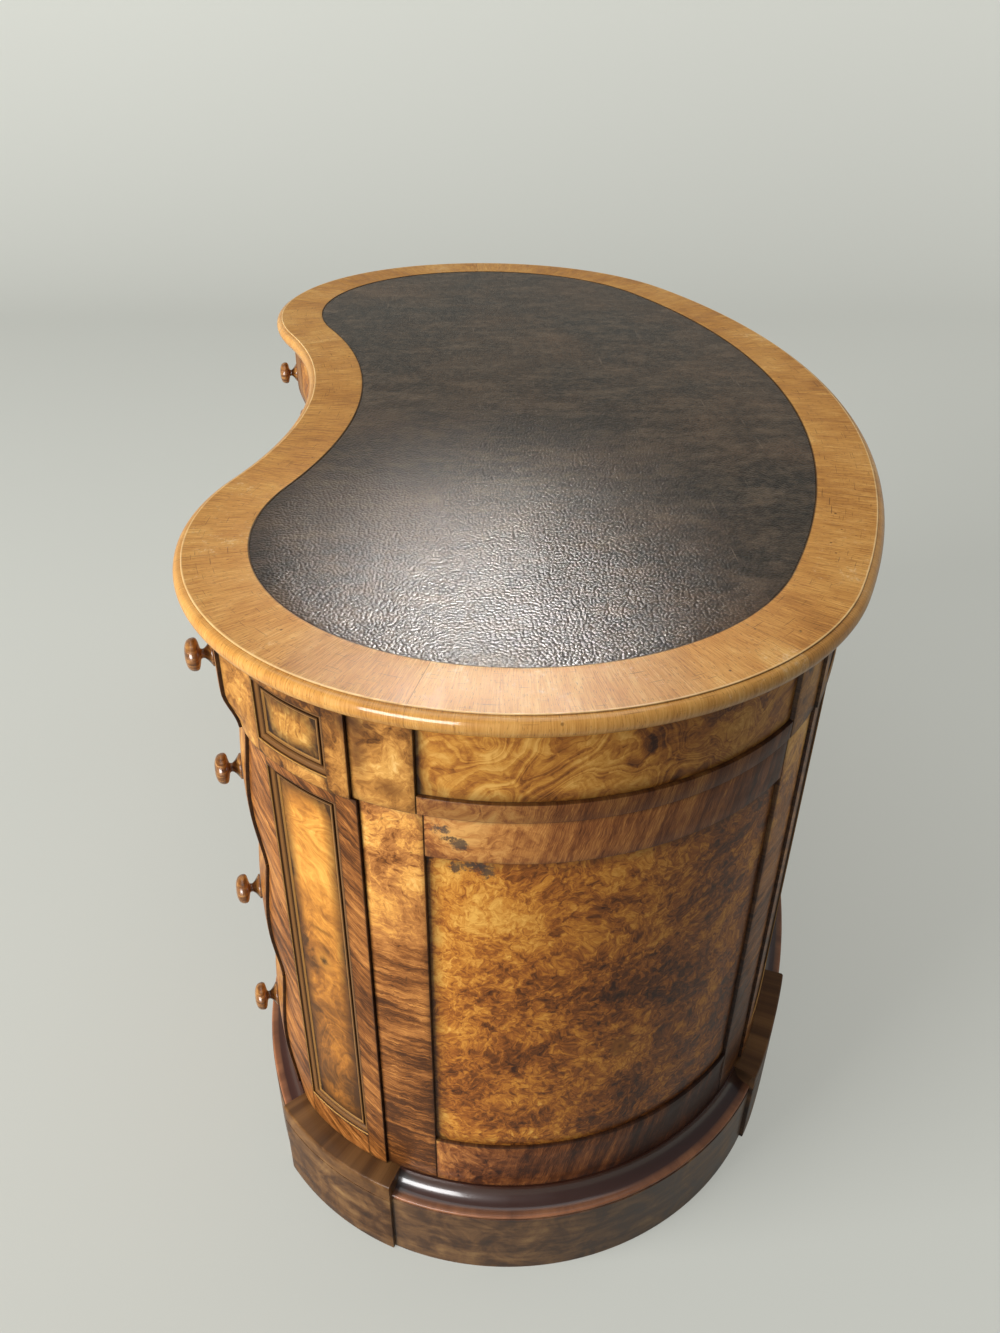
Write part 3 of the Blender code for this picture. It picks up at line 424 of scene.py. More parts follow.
def plinth_finish(name, moulded):
    """Stained walnut with a worn, mottled polish; a run has a coppery bead and a glossy cove painted dark for
    its shade.
    """
    material, tree, shader = new_finish(name)
    spot = add(tree, "UVMap")
    height = add(tree, "SeparateXYZ", (spot,), "Y")
    grain = figure(tree, spot, (70, 11), 6.0, 0.65, turn=0.12)
    cloud = figure(tree, spot, 38, 8.0, 0.65, 0.7)
    tone = add(tree, "MixRGB", (0.68, grain, cloud))
    tint = add(tree, "ValToRGB", (tone,), stops=(
        (0.34, "#25150b"), (0.46, "#442a15"), (0.55, "#654628"), (0.68, "#896840")))
    rubbed = add(tree, "MapRange", (height, PLINTH_SHELF, PLINTH_SHELF + 0.002, 0.0, 1.3))
    coat, kept, worn, sheen = 0.12, 0.35, "#7d5427", 0.2
    if moulded:
        cove = add(tree, "MapRange", (height, bead_head - 0.0008, bead_head + 0.0012, 0.0, 1.0))
        # Painted shade: the cove is coloured near-black, standing for the shade and dark reflections lying in
        # it.
        tint = add(tree, "MixRGB", (cove, tint, colour("#34190f")))
        coat = add(tree, "MapRange", (cove, 0.0, 1.0, 0.25, 1.0))
        kept = add(tree, "MapRange", (cove, 0.0, 1.0, 1.0, 0.0))
        worn, sheen = "#a56a48", 0.35
    rubbed = add(tree, "Math MULTIPLY", (rubbed, kept))
    rubbed = add(tree, "Math MULTIPLY", (rubbed, cloud))
    wire(tree, shader, {
        "Base Color": add(tree, "MixRGB", (rubbed, tint, colour(worn))),
        "Roughness": add(tree, "MapRange", (cloud, 0.3, 0.7, 0.32, 0.48)),
        "Normal": add(tree, "Bump", {"Strength": 0.2, "Distance": 0.0006, "Height": tone}),
        "Specular IOR Level": sheen, "Coat Weight": coat, "Coat Roughness": 0.14})
    return material


block_walnut = plinth_finish("stained block walnut", False)
run_walnut = plinth_finish("stained moulding walnut", True)
front_line, front_start, front_end, front_leans = bowed_front(
    "plinth_front_line", KNEEHOLE_HALF, turn_along(block_end) + FRONT_CLEAR, PLINTH_BOW,
    PLINTH_INSET, FRONT_PLINTH_BACK)
for side in ("right", "left"):
    bent("plinth_" + side + "_blocks", [
        block_of_plinth(bay_front - BLOCK_LAP, block_end),
        block_of_plinth(pilaster_back, bay_back + BLOCK_LAP),
    ], block_walnut, "dark_walnut", "plinth_" + side)
    bent("plinth_" + side + "_runs", [
        run_of_plinth(bay_back + BLOCK_LAP, bay_front - BLOCK_LAP),
        run_of_plinth(kneehole_end, pilaster_back),
    ], run_walnut, "dark_walnut")
    bent("plinth_" + side + "_front", [
        board(front_start, front_end, run_levels, lambda s, z: moulded_out(z),
              PLINTH_INSET - FRONT_PLINTH_BACK, soft=0.0, leans=front_leans),
    ], run_walnut, "dark_walnut", line=front_line)
bent("kneehole_plinth_run", [run_of_plinth(kneehole_start + FIT, kneehole_end - FIT)],
     run_walnut, "dark_walnut", "kneehole_plinth")

# Carcase: pine dust boards, guides and frieze floor, which show only when a drawer is out, and the
# walnut-faced cheeks and dividers on either side of the kneehole. Their solids are used as they are.


def plain_wood(name, size, noise, tones, gloss, relief, stain=None, coat=(0.0, 0.03)):
    """Wood with straight grain, its marks drawn out along it, with darker stains where they are given."""
    material, tree, shader = new_finish(name)
    spot = add(tree, "TexCoord", out="Object")
    grain = figure(tree, spot, size, *noise)
    tint = add(tree, "ValToRGB", (grain,), stops=tones)
    if stain:
        marks = figure(tree, spot, *stain[:3], band=stain[3])
        tint = add(tree, "MixRGB", (marks, tint, colour(stain[4])))
    wire(tree, shader, {
        "Base Color": tint, "Roughness": add(tree, "MapRange", (grain, *gloss)),
        "Normal": add(tree, "Bump", {"Strength": relief[0], "Distance": relief[1], "Height": grain}),
        "Coat Weight": coat[0], "Coat Roughness": coat[1]})
    return material


def faced(name, finish):
    """Gives the solid of a node a finish."""
    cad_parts[name].data.materials.clear()
    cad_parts[name].data.materials.append(finish)


# Pine: dull yellow-brown with broad streaks and grey-brown dirt, never polished.
pine = plain_wood(
    "old carcase pine", (165, 14, 14), (5.0, 0.5, 0.4),
    ((0.30, "#7d5b36"), (0.45, "#a27c4c"), (0.58, "#b99462"), (0.72, "#8d6a40")),
    (0.0, 1.0, 0.62, 0.8), (0.3, 0.0008), stain=(140, 6.0, 0.7, (0.5, 0.75, 0.55), "#4d3a26"))
# Cheek walnut: plain brown, streaked upright, with a thin soft polish.
cheek_walnut = plain_wood(
    "plain cheek walnut", (33, 13, 200), (7.0, 0.6, 0.5),
    ((0.30, "#3a2110"), (0.45, "#6d4520"), (0.58, "#8f6130"), (0.72, "#ad7d42")),
    (0.0, 1.0, 0.30, 0.46), (0.15, 0.0005), coat=(0.25, 0.2))
for name in ("frieze_floor", "drawer_frame_right", "drawer_frame_left"):
    faced(name, pine)
for name in ("cheek_right", "cheek_left", "frieze_divider_right", "frieze_divider_left"):
    faced(name, cheek_walnut)

# Pedestal ends: a field of burr walnut veneer, sunk between a frame of stiles and rails laid on it. The
# stiles are veneered with the grain lying level, the rails with short cross grain, all under an old shellac
# polish.
FRIEZE_FOOT = 0.6215
WALL_HEAD = FRIEZE_FOOT - FIT
STILE_WIDTH = 0.057
TOP_RAIL, BOTTOM_RAIL = 0.045, 0.066
BAY_STEP, PANEL_STEP = 0.003, 0.004
RAIL_SHY, FRAME_SUNK = 0.0002, 0.001
WALL_BACK = FACE_INSET - WALL_INSET
LEVEL_STEP = 0.02


def summed(tree, start, parts):
    """Sum of patterns, each with its weight, on top of a start."""
    for part, weight in parts:
        start = add(tree, "Math MULTIPLY_ADD", (part, weight, start))
    return start


def walnut_leaf(name, tones, seed, size=1.0, mix=(0.34, 0.34, 0.36), stripes=None, change=None, pins=0.6,
                rim=(0.45, 0.016), swirl=0.0, painted_light_and_tone=(0.0, 0.0, 0.0), marks=()):
    """Leaf of walnut veneer: curled burr, straight stripes, or one changing into the other along the leaf.
    It has flecks, clouds, dark pin knots, a smoky rim that is partly old polish and partly painted shade, a
    thin dark edge line with painted shadow in it, and marks of its own, under a soft gloss. Painted light and
    shade can make it lighter or darker across the leaf."""
    material, tree, shader = new_finish(name)
    spot = add(tree, "UVMap")
    shift = (1.37 * seed, 0.71 * seed, 0.3 * seed)
    moved = curled = add(tree, "VectorMath ADD", (spot, shift))
    for width, reach in ((110 * size, 0.07 * size), (15 * size, 0.016 * size)):
        swept = curled
        flow = add(tree, "TexNoise", {"Vector": swept, "Scale": per(width), "Detail": 3.0}, 1)
        curled = add(tree, "VectorMath MULTIPLY_ADD", (flow, (reach, reach, 0.0), swept))
    cloud = figure(tree, curled, 100 * size, 5.0, 0.55)
    fleck = figure(tree, curled, 6.6 * size, 5.0, 0.65, 0.8)
    blotch = figure(tree, curled, 24 * size, 6.0, 0.6)
    # Painted light and shade: the tone slopes lighter or darker across the leaf as light falls on the piece;
    # the third value sets the leaf's own tone.
    painted_light_trend = add(tree, "VectorMath DOT_PRODUCT", (spot, (painted_light_and_tone[0], painted_light_and_tone[1], 0.0)), "Value")
    level = painted_light_and_tone[2] + 0.52 - 0.5 * (sum(mix) + swirl)
    tone = add(tree, "Math ADD", (painted_light_trend, level))
    tone = summed(tree, tone, zip((fleck, cloud, blotch), mix))
    if swirl:
        drift = figure(tree, swept, 140 * size, 1.8, warp=1.0)
        drift = summed(tree, drift, ((fleck, 0.012),))
        bands = add(tree, "TexNoise", {"W": drift, "Scale": 34.0, "Detail": 4.0, "Roughness": 0.7},
                    noise_dimensions="1D")
        tone = summed(tree, tone, ((bands, swirl),))
    if stripes:
        pitch, lean, darker = stripes
        waved = add(tree, "VectorMath MULTIPLY_ADD", (flow, (0.003, 0.010, 0.0), moved))
        turned = add(tree, "Mapping", {"Vector": waved, "Rotation": (0.0, 0.0, lean)})
        barred = add(tree, "Mapping", {"Vector": turned, "Scale": (0.07 / pitch, 1 / pitch, 1.0)})
        bars = add(tree, "TexNoise", {"Vector": barred, "Scale": 0.7, "Detail": 6.0, "Roughness": 0.62})
        fibre = figure(tree, turned, (11, 0.7), 3.0)
        lined = add(tree, "Math ADD", (painted_light_trend, painted_light_and_tone[2] + 0.07 - darker))
        lined = summed(tree, lined, ((bars, 0.40), (cloud, 0.22), (fibre, 0.28)))
        share = 0.9
        if change:
            axis, plain_from, plain_to = change
            place = add(tree, "SeparateXYZ", (waved,), axis)
            moved_by = shift["XY".index(axis)]
            share = add(tree, "MapRange", (place, plain_from + moved_by, plain_to + moved_by, 0.0, share))
        tone = add(tree, "MixRGB", (share, tone, lined))
    tint = add(tree, "ValToRGB", (tone,), stops=tones)
    cells = add(tree, "TexVoronoi", {"Vector": curled, "Scale": per(14 * size)})
    pin = add(tree, "MapRange", (cells, 0.04, 0.22, pins, 0.0))
    flock = add(tree, "MapRange", (cloud, 0.46, 0.38, 0.0, 1.0))
    pin = add(tree, "Math MULTIPLY", (pin, flock))
    edge = add(tree, "Attribute", out="Fac", attribute_name="rim")
    # Darker near the edges and the frame: partly old polish, partly painted shade of the frame.
    smoke_and_shade = add(tree, "MapRange", (edge, 0.0, rim[1], 2.0 * rim[0], 0.0))
    smoke_and_shade = add(tree, "Math MULTIPLY", (smoke_and_shade, blotch))
    # A thin dark line at every edge: the joint, with painted shadow in it.
    quirk = add(tree, "MapRange", (edge, 0.0003, 0.0010, 0.65, 0.0))
    laid_over = [(pin, "#2a1408"), (smoke_and_shade, "#2b170a"), (quirk, "#1a0d06")]
    shake = add(tree, "TexNoise", {"Vector": moved, "Scale": per(4.8), "Detail": 4.0, "Roughness": 0.7}, 1)
    shake = add(tree, "VectorMath SUBTRACT", (shake, (0.5, 0.5, 0.5)))
    for (s, z), (wide, high), code, fade in marks:
        tear = 0.044 * fade
        torn = add(tree, "VectorMath MULTIPLY_ADD", (shake, (tear, tear, 0.0), spot))
        gap = add(tree, "Mapping", {
            "Vector": torn, "Location": (-s / wide, -z / high, 0.0), "Scale": (1 / wide, 1 / high, 0.0)})
        gap = add(tree, "VectorMath LENGTH", (gap,), "Value")
        laid_over.append((add(tree, "MapRange", (gap, fade, 1.0, 0.85, 0.0)), code))
    for share, code in laid_over:
        tint = add(tree, "MixRGB", (share, tint, colour(code)))
    relief = add(tree, "Bump", {"Strength": 0.15, "Distance": 0.0005, "Height": fleck})
    relief = add(tree, "Bump", {"Strength": 0.12, "Distance": 0.002, "Height": cloud, "Normal": relief})
    wire(tree, shader, {
        "Base Color": tint, "Roughness": add(tree, "MapRange", (blotch, 0.3, 0.7, 0.29, 0.42)),
        "Normal": relief, "Specular IOR Level": 0.28})
    return material


# Burr: orange-brown and tightly curled, with grey chips at its head, a dark ring and a stain, and painted
# light making it lighter towards the front and head. Its match on the other walls has none of these marks.
BURR_TONES = ((0.39, "#341808"), (0.46, "#6b3a13"), (0.515, "#985820"), (0.57, "#be7c2d"), (0.66, "#dba54e"))
BURR = {"size": 0.8, "mix": (0.42, 0.31, 0.31)}
end_burr = walnut_leaf("burr walnut leaf", BURR_TONES, 7.0, **BURR, painted_light_and_tone=(0.22, 0.10, -0.333), marks=(
    ((1.4020, 0.5695), (0.017, 0.0055), "#37312d", 0.5), ((1.3920, 0.5630), (0.007, 0.008), "#3a322c", 0.5),
    ((1.4180, 0.5640), (0.004, 0.009), "#41352b", 0.5), ((1.2646, 0.3939), (0.014, 0.008), "#2c160a", 0.1),
    ((1.2585, 0.3177), (0.0150, 0.0170), "#4f2a0e", 0.4),
    ((1.2585, 0.3177), (0.0105, 0.0120), "#a0621f", 0.3),
    ((1.2585, 0.3177), (0.0045, 0.0055), "#4f2a0e", 0.1)))
other_burr = walnut_leaf("matched burr walnut leaf", BURR_TONES, 6.0, **BURR)
# Stiles: tan, striped level at the foot and turning to burr at the head, with painted shade darker towards
# the foot.
STILE_TONES = ((0.40, "#43230b"), (0.46, "#804c20"), (0.52, "#ad7239"), (0.57, "#d09446"), (0.64, "#e3b165"))
stile_grain = walnut_leaf("level-grained walnut", STILE_TONES, 2.0, size=0.7, stripes=(0.0055, 0.0, 0.05),
                          change=("Y", 0.56, 0.42), rim=(0.3, 0.004), painted_light_and_tone=(0.0, 0.30, -0.132))
# Rails: redder, with short stripes across them and grey chips near the front; their match has no chips.
# Painted light makes them lighter towards the head, and the near ones lighter towards the front.
RED_TONES = ((0.40, "#301508"), (0.46, "#633518"), (0.52, "#8f562b"), (0.57, "#b67a3e"), (0.64, "#cf9a56"))
RAIL = {"stripes": (0.007, 1.30, 0.02), "rim": (0.3, 0.004)}
rail_grain = walnut_leaf("cross-banded walnut", RED_TONES, 3.0, **RAIL, change=("X", 1.40, 1.33),
                         painted_light_and_tone=(0.26, 0.16, -0.415), marks=(
    ((1.4295, 0.6090), (0.009, 0.0045), "#433b36", 0.5), ((1.4130, 0.5945), (0.009, 0.007), "#3b342f", 0.5),
    ((1.4215, 0.6000), (0.009, 0.003), "#372e28", 0.5)))
other_rail = walnut_leaf("matched cross-banded walnut", RED_TONES, 8.0, **RAIL, painted_light_and_tone=(0.0, 0.10, -0.05))

rail_foot, rail_head = PLINTH_HEIGHT + BOTTOM_RAIL, FRIEZE_FOOT - TOP_RAIL
field_face = -BAY_STEP - PANEL_STEP
wall_levels = evenly(PLINTH_HEIGHT, WALL_HEAD, LEVEL_STEP)


def wall_field(start, end, start_hidden, end_hidden):
    """Sunk field of a wall, with what a frame hides of it at its start and end."""
    return [board(start, end, wall_levels, field_face, WALL_BACK, soft=0.0,
                  under=(start_hidden, end_hidden, BOTTOM_RAIL, TOP_RAIL))]


def wall_rails(start, end):
    """Foot rail and head rail of a wall."""
    return [board(start, end, evenly(low, high, LEVEL_STEP), -BAY_STEP - RAIL_SHY, field_face - FRAME_SUNK)
            for low, high in ((PLINTH_HEIGHT, rail_foot), (rail_head, WALL_HEAD))]


for side, burr, rail in (("right", end_burr, rail_grain), ("left", other_burr, other_rail)):
    bent("end_field_" + side, wall_field(bay_back + FIT, bay_front - FIT, STILE_WIDTH, STILE_WIDTH),
         burr, "burr_walnut", "end_wall_" + side)
    bent("end_stiles_" + side, [
        board(start, start + STILE_WIDTH - FIT, wall_levels, -BAY_STEP, field_face - FRAME_SUNK)
        for start in (bay_back + FIT, bay_front - STILE_WIDTH)
    ], stile_grain, "walnut_veneer", "end_frame_" + side)
    bent("end_rails_" + side, wall_rails(bay_back + STILE_WIDTH + FIT, bay_front - STILE_WIDTH - FIT),
         rail, "walnut_veneer")

# Front pilasters: veneered posts at the drawer corners, each with a tall golden panel sunk in a dark ovolo
# moulding. Their front edges are shaped to the swell of the drawers beside them.
PANEL_SIDE, PANEL_EDGE = 0.021, 0.043
PANEL_HEAD, PANEL_FOOT = 0.012, 0.035
MOULDING_WIDTH, MOULDING_DEPTH, MOULDING_BACK = 0.0105, 0.0055, -0.010
PANEL_TUCK, PANEL_SUNK = 0.001, 0.95 * MOULDING_DEPTH
JOINT_INSET, CUSHION_RISE, CUSHION_POWER = 0.0265, 0.007, 1.4
EDGE_BACK, EDGE_POWER, EDGE_STEP = 0.0032, 1.6, 0.003
MARGIN_CLEAR = 0.001
TIERS = ((PLINTH_HEIGHT, 0.2995), (0.2995, 0.4555), (0.4555, FRIEZE_FOOT))
FRIEZE_INSET, FRIEZE_OGEE, OGEE_HEIGHT = 0.0108, 0.0107, 0.044
MOULDING = (
    (0.0, 0.0), (0.03, 0.06), (0.06, 0.36), (0.09, 0.42), (0.20, 0.44), (0.32, 0.50), (0.43, 0.60),
    (0.52, 0.74), (0.58, 0.90), (0.61, 1.0), (0.65, 1.0), (0.68, 0.86), (0.73, 0.74), (0.80, 0.70),
    (0.87, 0.74), (0.93, 0.84), (1.0, 0.92))


def front_inset(height):
    """Inset of the drawer fronts at a height: a cushion to each pedestal drawer, an ogee on the frieze."""
    if height >= FRIEZE_FOOT:
        share = min(1.0, (height - FRIEZE_FOOT) / OGEE_HEIGHT)
        return FRIEZE_INSET + FRIEZE_OGEE * (1 - share * share * (3 - 2 * share))
    foot, head = next(tier for tier in TIERS if height <= tier[1])
    swell = math.sin(math.pi * min(1.0, max(0.0, (height - foot) / (head - foot))))
    return JOINT_INSET - CUSHION_RISE * max(0.0, swell) ** CUSHION_POWER


def charted(rings, around, across):
    """Faces, with their map, between closed rings of points; a last step across leads back to the first."""
    size = len(around) - 1
    faces, corners = [], []
    for row in range(len(across) - 1):
        beyond = (row + 1) % rings
        for k in range(size):
            after = (k + 1) % size
            faces.append((row * size + k, row * size + after, beyond * size + after, beyond * size + k))
            corners.append([(around[k], across[row]), (around[k + 1], across[row]),
                            (around[k + 1], across[row + 1]), (around[k], across[row + 1])])
    return faces, corners


def lengths(spots):
    """Distance along a line at each of its spots."""
    run = [0.0]
    for a, b in zip(spots, spots[1:]):
        run.append(run[-1] + math.dist(a, b))
    return run


def mitred_moulding(start, end, foot, head, face):
    """Moulding mitred round a panel: a quirk, an ovolo and a bead, closed behind. Its map stays in one place
    along each side, so that the grain runs straight there."""
    loop = [(MOULDING_WIDTH * w, face - MOULDING_DEPTH * d) for w, d in MOULDING]
    loop += [(MOULDING_WIDTH, MOULDING_BACK), (0.0, MOULDING_BACK)]
    wide = max(1, math.ceil((end - start) / FINE_STEP))
    high = max(1, math.ceil((head - foot) / LEVEL_STEP))
    points = []
    for inner, out in loop:
        west, east, low, top = start + inner, end - inner, foot + inner, head - inner
        mitres = ((west, low), (east, low), (east, top), (west, top), (west, low))
        for (s, z), (to_s, to_z), count in zip(mitres, mitres[1:], 2 * (wide, high)):
            points += [(s + (to_s - s) * k / count, out, z + (to_z - z) * k / count) for k in range(count)]
    level_step, upright_step = (end - start) / wide, (head - foot) / high
    run = [0.0] * wide
    for count, step in ((high, upright_step), (wide, level_step), (high, upright_step), (1, upright_step)):
        run += [run[-1] + step] * count
    return points, *charted(len(loop), run, lengths(loop + loop[:1])), [0.0] * len(points)


def panel_leaf(start, end, foot, head, face, back):
    """Leaf of veneer inside a moulding, tucked a little under the moulding's bead."""
    tuck = MOULDING_WIDTH - PANEL_TUCK
    levels = evenly(foot + tuck, head - tuck, LEVEL_STEP)
    return board(start + tuck, end - tuck, levels, face - PANEL_SUNK, back, soft=0.0)


def framed(start, end, near, far, levels, foot, head, face, back, edge=None):
    """Four margins round a sunk panel, the last of them shaped by edge where it turns to the drawers."""
    low = [z for z in levels if z < foot - MARGIN_CLEAR] + [foot]
    high = [head] + [z for z in levels if z > head + MARGIN_CLEAR]
    return [
        board(start, near, levels, face, back, soft=0.0),
        board(near, far, low, face, back, soft=0.0),
        board(near, far, high, face, back, soft=0.0),
        board(far, end, levels, edge or face, back, soft=0.0, step=EDGE_STEP),
    ]


def shaped_edge(far, end, face):
    """Face of the margin beside the drawers, which turns in to their swell and ends just behind it."""
    def out(s, z):
        share = max(0.0, s - far) / (end - far)
        return face + (FACE_INSET - front_inset(z) - EDGE_BACK - face) * share ** EDGE_POWER
    return out


# Moulding walnut: dark old polish and painted shade lying in the quirks, and a pale line on the outer arris
# and the bead that is partly rubbing, partly painted highlight.
moulding_walnut, tree, shader = new_finish("dark moulding walnut")
spot = add(tree, "UVMap")
across = add(tree, "SeparateXYZ", (spot,), "Y")
across = add(tree, "Math MULTIPLY", (across, per(18)))
# Painted across the profile: highlights on the arris and bead, shade in the quirks.
tint = add(tree, "ValToRGB", (across,), stops=(
    (0.0, "#d3a45e"), (0.045, "#b5823f"), (0.09, "#2a170b"), (0.16, "#6a4521"), (0.34, "#7c5428"),
    (0.48, "#4a2d14"), (0.60, "#1a0e07"), (0.70, "#8a5f2d"), (0.76, "#a87a3c"), (0.86, "#4b2f15")))
grain = figure(tree, spot, (28, 1.4), 4.0, 0.6)
shade = add(tree, "MapRange", (grain, 0.35, 0.65, 0.0, 0.55))
wire(tree, shader, {
    "Base Color": add(tree, "MixRGB", (shade, tint, colour("#2a160a"))),
    "Roughness": add(tree, "MapRange", (grain, 0.3, 0.7, 0.29, 0.40)),
    "Normal": add(tree, "Bump", {"Strength": 0.15, "Distance": 0.0003, "Height": grain}),
    "Specular IOR Level": 0.28})

# Panels: golden, with large soft swirls, smoky along the moulding with painted shade there, and painted
# darker towards the foot. The near one has a dark knot in a pale halo and a brown streak over it. The
# margins round them have fine slanting stripes.
PANEL_TONES = ((0.40, "#4e2f10"), (0.46, "#8c5720"), (0.52, "#b97b30"), (0.57, "#d49a46"), (0.64, "#e5b86b"))
PANEL = {"size": 1.3, "rim": (0.9, 0.014), "swirl": 0.13}
golden_panel = walnut_leaf("golden panel walnut", PANEL_TONES, 5.8, **PANEL, mix=(0.14, 0.26, 0.22),
                           painted_light_and_tone=(0.0, 0.28, -0.155), marks=(
    ((1.5620, 0.3906), (0.0150, 0.0170), "#b47a30", 0.2),
    ((1.5620, 0.3906), (0.0068, 0.0078), "#1a0e06", 0.3),
    ((1.5624, 0.4326), (0.024, 0.004), "#6e4415", 0.1)))
other_panel = walnut_leaf("matched golden panel walnut", PANEL_TONES, 19.0, **PANEL, mix=(0.12, 0.24, 0.20),
                          pins=0.5, painted_light_and_tone=(0.0, 0.20, -0.09))
margin_grain = walnut_leaf("slant-grained walnut", STILE_TONES, 4.0, stripes=(0.005, -0.7, 0.08),
                           rim=(0.3, 0.003))

panel_near, panel_far = bay_front + PANEL_SIDE, pilaster_front - PANEL_EDGE
panel_low, panel_high = PLINTH_HEIGHT + PANEL_FOOT, FRIEZE_FOOT - PANEL_HEAD
pilaster_levels = sorted({
    z for foot, head in TIERS for z in evenly(foot, min(head, WALL_HEAD), FINE_STEP)})


def pilaster(place, side, solid, start, end, near, far, leaf, edge=None):
    """Margins, moulding and panel of one pilaster, the margins standing for its solid."""
    margins = framed(start, end, near, far, pilaster_levels, panel_low, panel_high, 0.0, WALL_BACK, edge)
    bent(place + "_margins_" + side, margins, margin_grain, "walnut_veneer", solid + side)
    bent(place + "_moulding_" + side, [mitred_moulding(near, far, panel_low, panel_high, 0.0)],
         moulding_walnut, "dark_walnut")
    bent(place + "_panel_" + side, [panel_leaf(near, far, panel_low, panel_high, 0.0, WALL_BACK)],
         leaf, "burr_walnut")


for side, leaf in (("right", golden_panel), ("left", other_panel)):
    pilaster("front_pilaster", side, "front_pilaster_", bay_front, pilaster_front, panel_near, panel_far,
             leaf, shaped_edge(panel_far, pilaster_front, 0.0))

# Pedestal backs: a back corner pilaster with its own moulded panel, then a stile and the pedestal's share of
# the sunk back field. The same field runs on across the kneehole between its rails.
UNFRAMED = -0.1     # at an end without a frame, so that no smoky rim lies there
rear_stile = pilaster_back - STILE_WIDTH
rear_near, rear_far = pilaster_back + PANEL_SIDE, bay_back - PANEL_SIDE
for side in ("right", "left"):
    pilaster("back_pilaster", side, "back_wall_", pilaster_back, bay_back, rear_near, rear_far, other_panel)
    bent("back_stile_" + side, [board(rear_stile, pilaster_back - FIT, wall_levels, -BAY_STEP, WALL_BACK)],
         stile_grain, "walnut_veneer")
    bent("back_field_" + side, wall_field(kneehole_end, rear_stile - FIT, UNFRAMED, 0.0),
         other_burr, "burr_walnut")
    bent("back_rails_" + side, wall_rails(kneehole_end, rear_stile - FIT), other_rail, "walnut_veneer")
bent("kneehole_field", wall_field(kneehole_start + FIT, kneehole_end - FIT, UNFRAMED, UNFRAMED),
     other_burr, "burr_walnut", "kneehole_back")
bent("kneehole_rails", wall_rails(kneehole_start + FIT, kneehole_end - FIT), other_rail, "walnut_veneer")

# Frieze: the band under the top, built like the pedestals below it and a little proud of them. A small
# moulded panel sits at each corner, with burr stiles and a sunk leaf of swirling walnut above a narrow rail
# between.
TOP_FOOT = 0.719
FRIEZE_HEAD = TOP_FOOT - FIT
FRIEZE_FACE = 0.0015
FRIEZE_SHIFT = 0.005
FRIEZE_RAIL = 0.0185
FRIEZE_WALL_INSET = 0.0405
SMALL_FOOT, SMALL_HEAD = 0.014, 0.0225
FRIEZE_BACK = FACE_INSET - FRIEZE_WALL_INSET
frieze_low, frieze_high = FRIEZE_FOOT + SMALL_FOOT, TOP_FOOT - SMALL_HEAD
# Frieze leaf: red-brown, in bands that swirl like water; the near one is painted paler towards the front, as
# lit from there.
SWIRL_TONES = ((0.39, "#33180a"), (0.45, "#683a15"), (0.515, "#9a5f24"), (0.57, "#ba8034"), (0.65, "#d3a152"))
SWIRL = {"size": 1.1, "mix": (0.24, 0.50, 0.36), "pins": 0.5, "rim": (0.5, 0.012), "swirl": 0.27}
swirl_leaf = walnut_leaf("swirling frieze walnut", SWIRL_TONES, 9.0, **SWIRL, painted_light_and_tone=(0.25, 0.0, -0.315))
other_swirl = walnut_leaf("matched swirling walnut", SWIRL_TONES, 11.0, **SWIRL)
# Stiles and corners: golden burr full of pin knots, with dark stains by the near corner panel.
CORNER_TONES = ((0.39, "#43250d"), (0.45, "#7d4f20"), (0.52, "#ab7637"), (0.58, "#c7944b"), (0.65, "#d9ae6a"))
CORNER = {
    "size": 0.8, "mix": (0.28, 0.52, 0.36), "pins": 0.8, "rim": (0.25, 0.004), "painted_light_and_tone": (0.0, 0.0, -0.04)}
stile_burr = walnut_leaf("golden stile burr", CORNER_TONES, 12.0, **CORNER, marks=(
    ((1.5010, 0.7000), (0.026, 0.018), "#2f190c", 0.1), ((1.5034, 0.6200), (0.014, 0.005), "#351d0e", 0.2),
    ((1.4980, 0.6720), (0.014, 0.034), "#5a3516", 0.0), ((1.4700, 0.6420), (0.018, 0.012), "#6a4019", 0.0)))
other_stile = walnut_leaf("matched golden stile burr", CORNER_TONES, 13.0, **CORNER)
# Small panels: pale gold with a quiet swirl, smoky along the moulding, partly with painted shade.
small_panel = walnut_leaf("small panel walnut", (
    (0.40, "#46260c"), (0.46, "#83531f"), (0.52, "#b17b36"), (0.57, "#cb994c"), (0.64, "#deb66e")), 15.0,
    mix=(0.28, 0.34, 0.28), pins=0.3, rim=(1.0, 0.016), swirl=0.16, painted_light_and_tone=(0.0, 0.0, 0.04))

ogee_head = FRIEZE_FOOT + OGEE_HEIGHT
frieze_levels = sorted({*evenly(FRIEZE_FOOT, ogee_head, 0.004), *evenly(ogee_head, FRIEZE_HEAD, 0.01)})
band_levels = evenly(FRIEZE_FOOT, FRIEZE_HEAD, LEVEL_STEP)
corner_start = bay_front + FRIEZE_SHIFT
corner_near, corner_far = corner_start + PANEL_SIDE, pilaster_front - PANEL_EDGE + FRIEZE_SHIFT
panel_spans = ((corner_near, corner_far), (rear_near, rear_far))


def frieze_stiles(*spans):
    """Stiles of the frieze, one in each span along the wall."""
    return [board(start, end, band_levels, FRIEZE_FACE - BAY_STEP, FRIEZE_BACK) for start, end in spans]


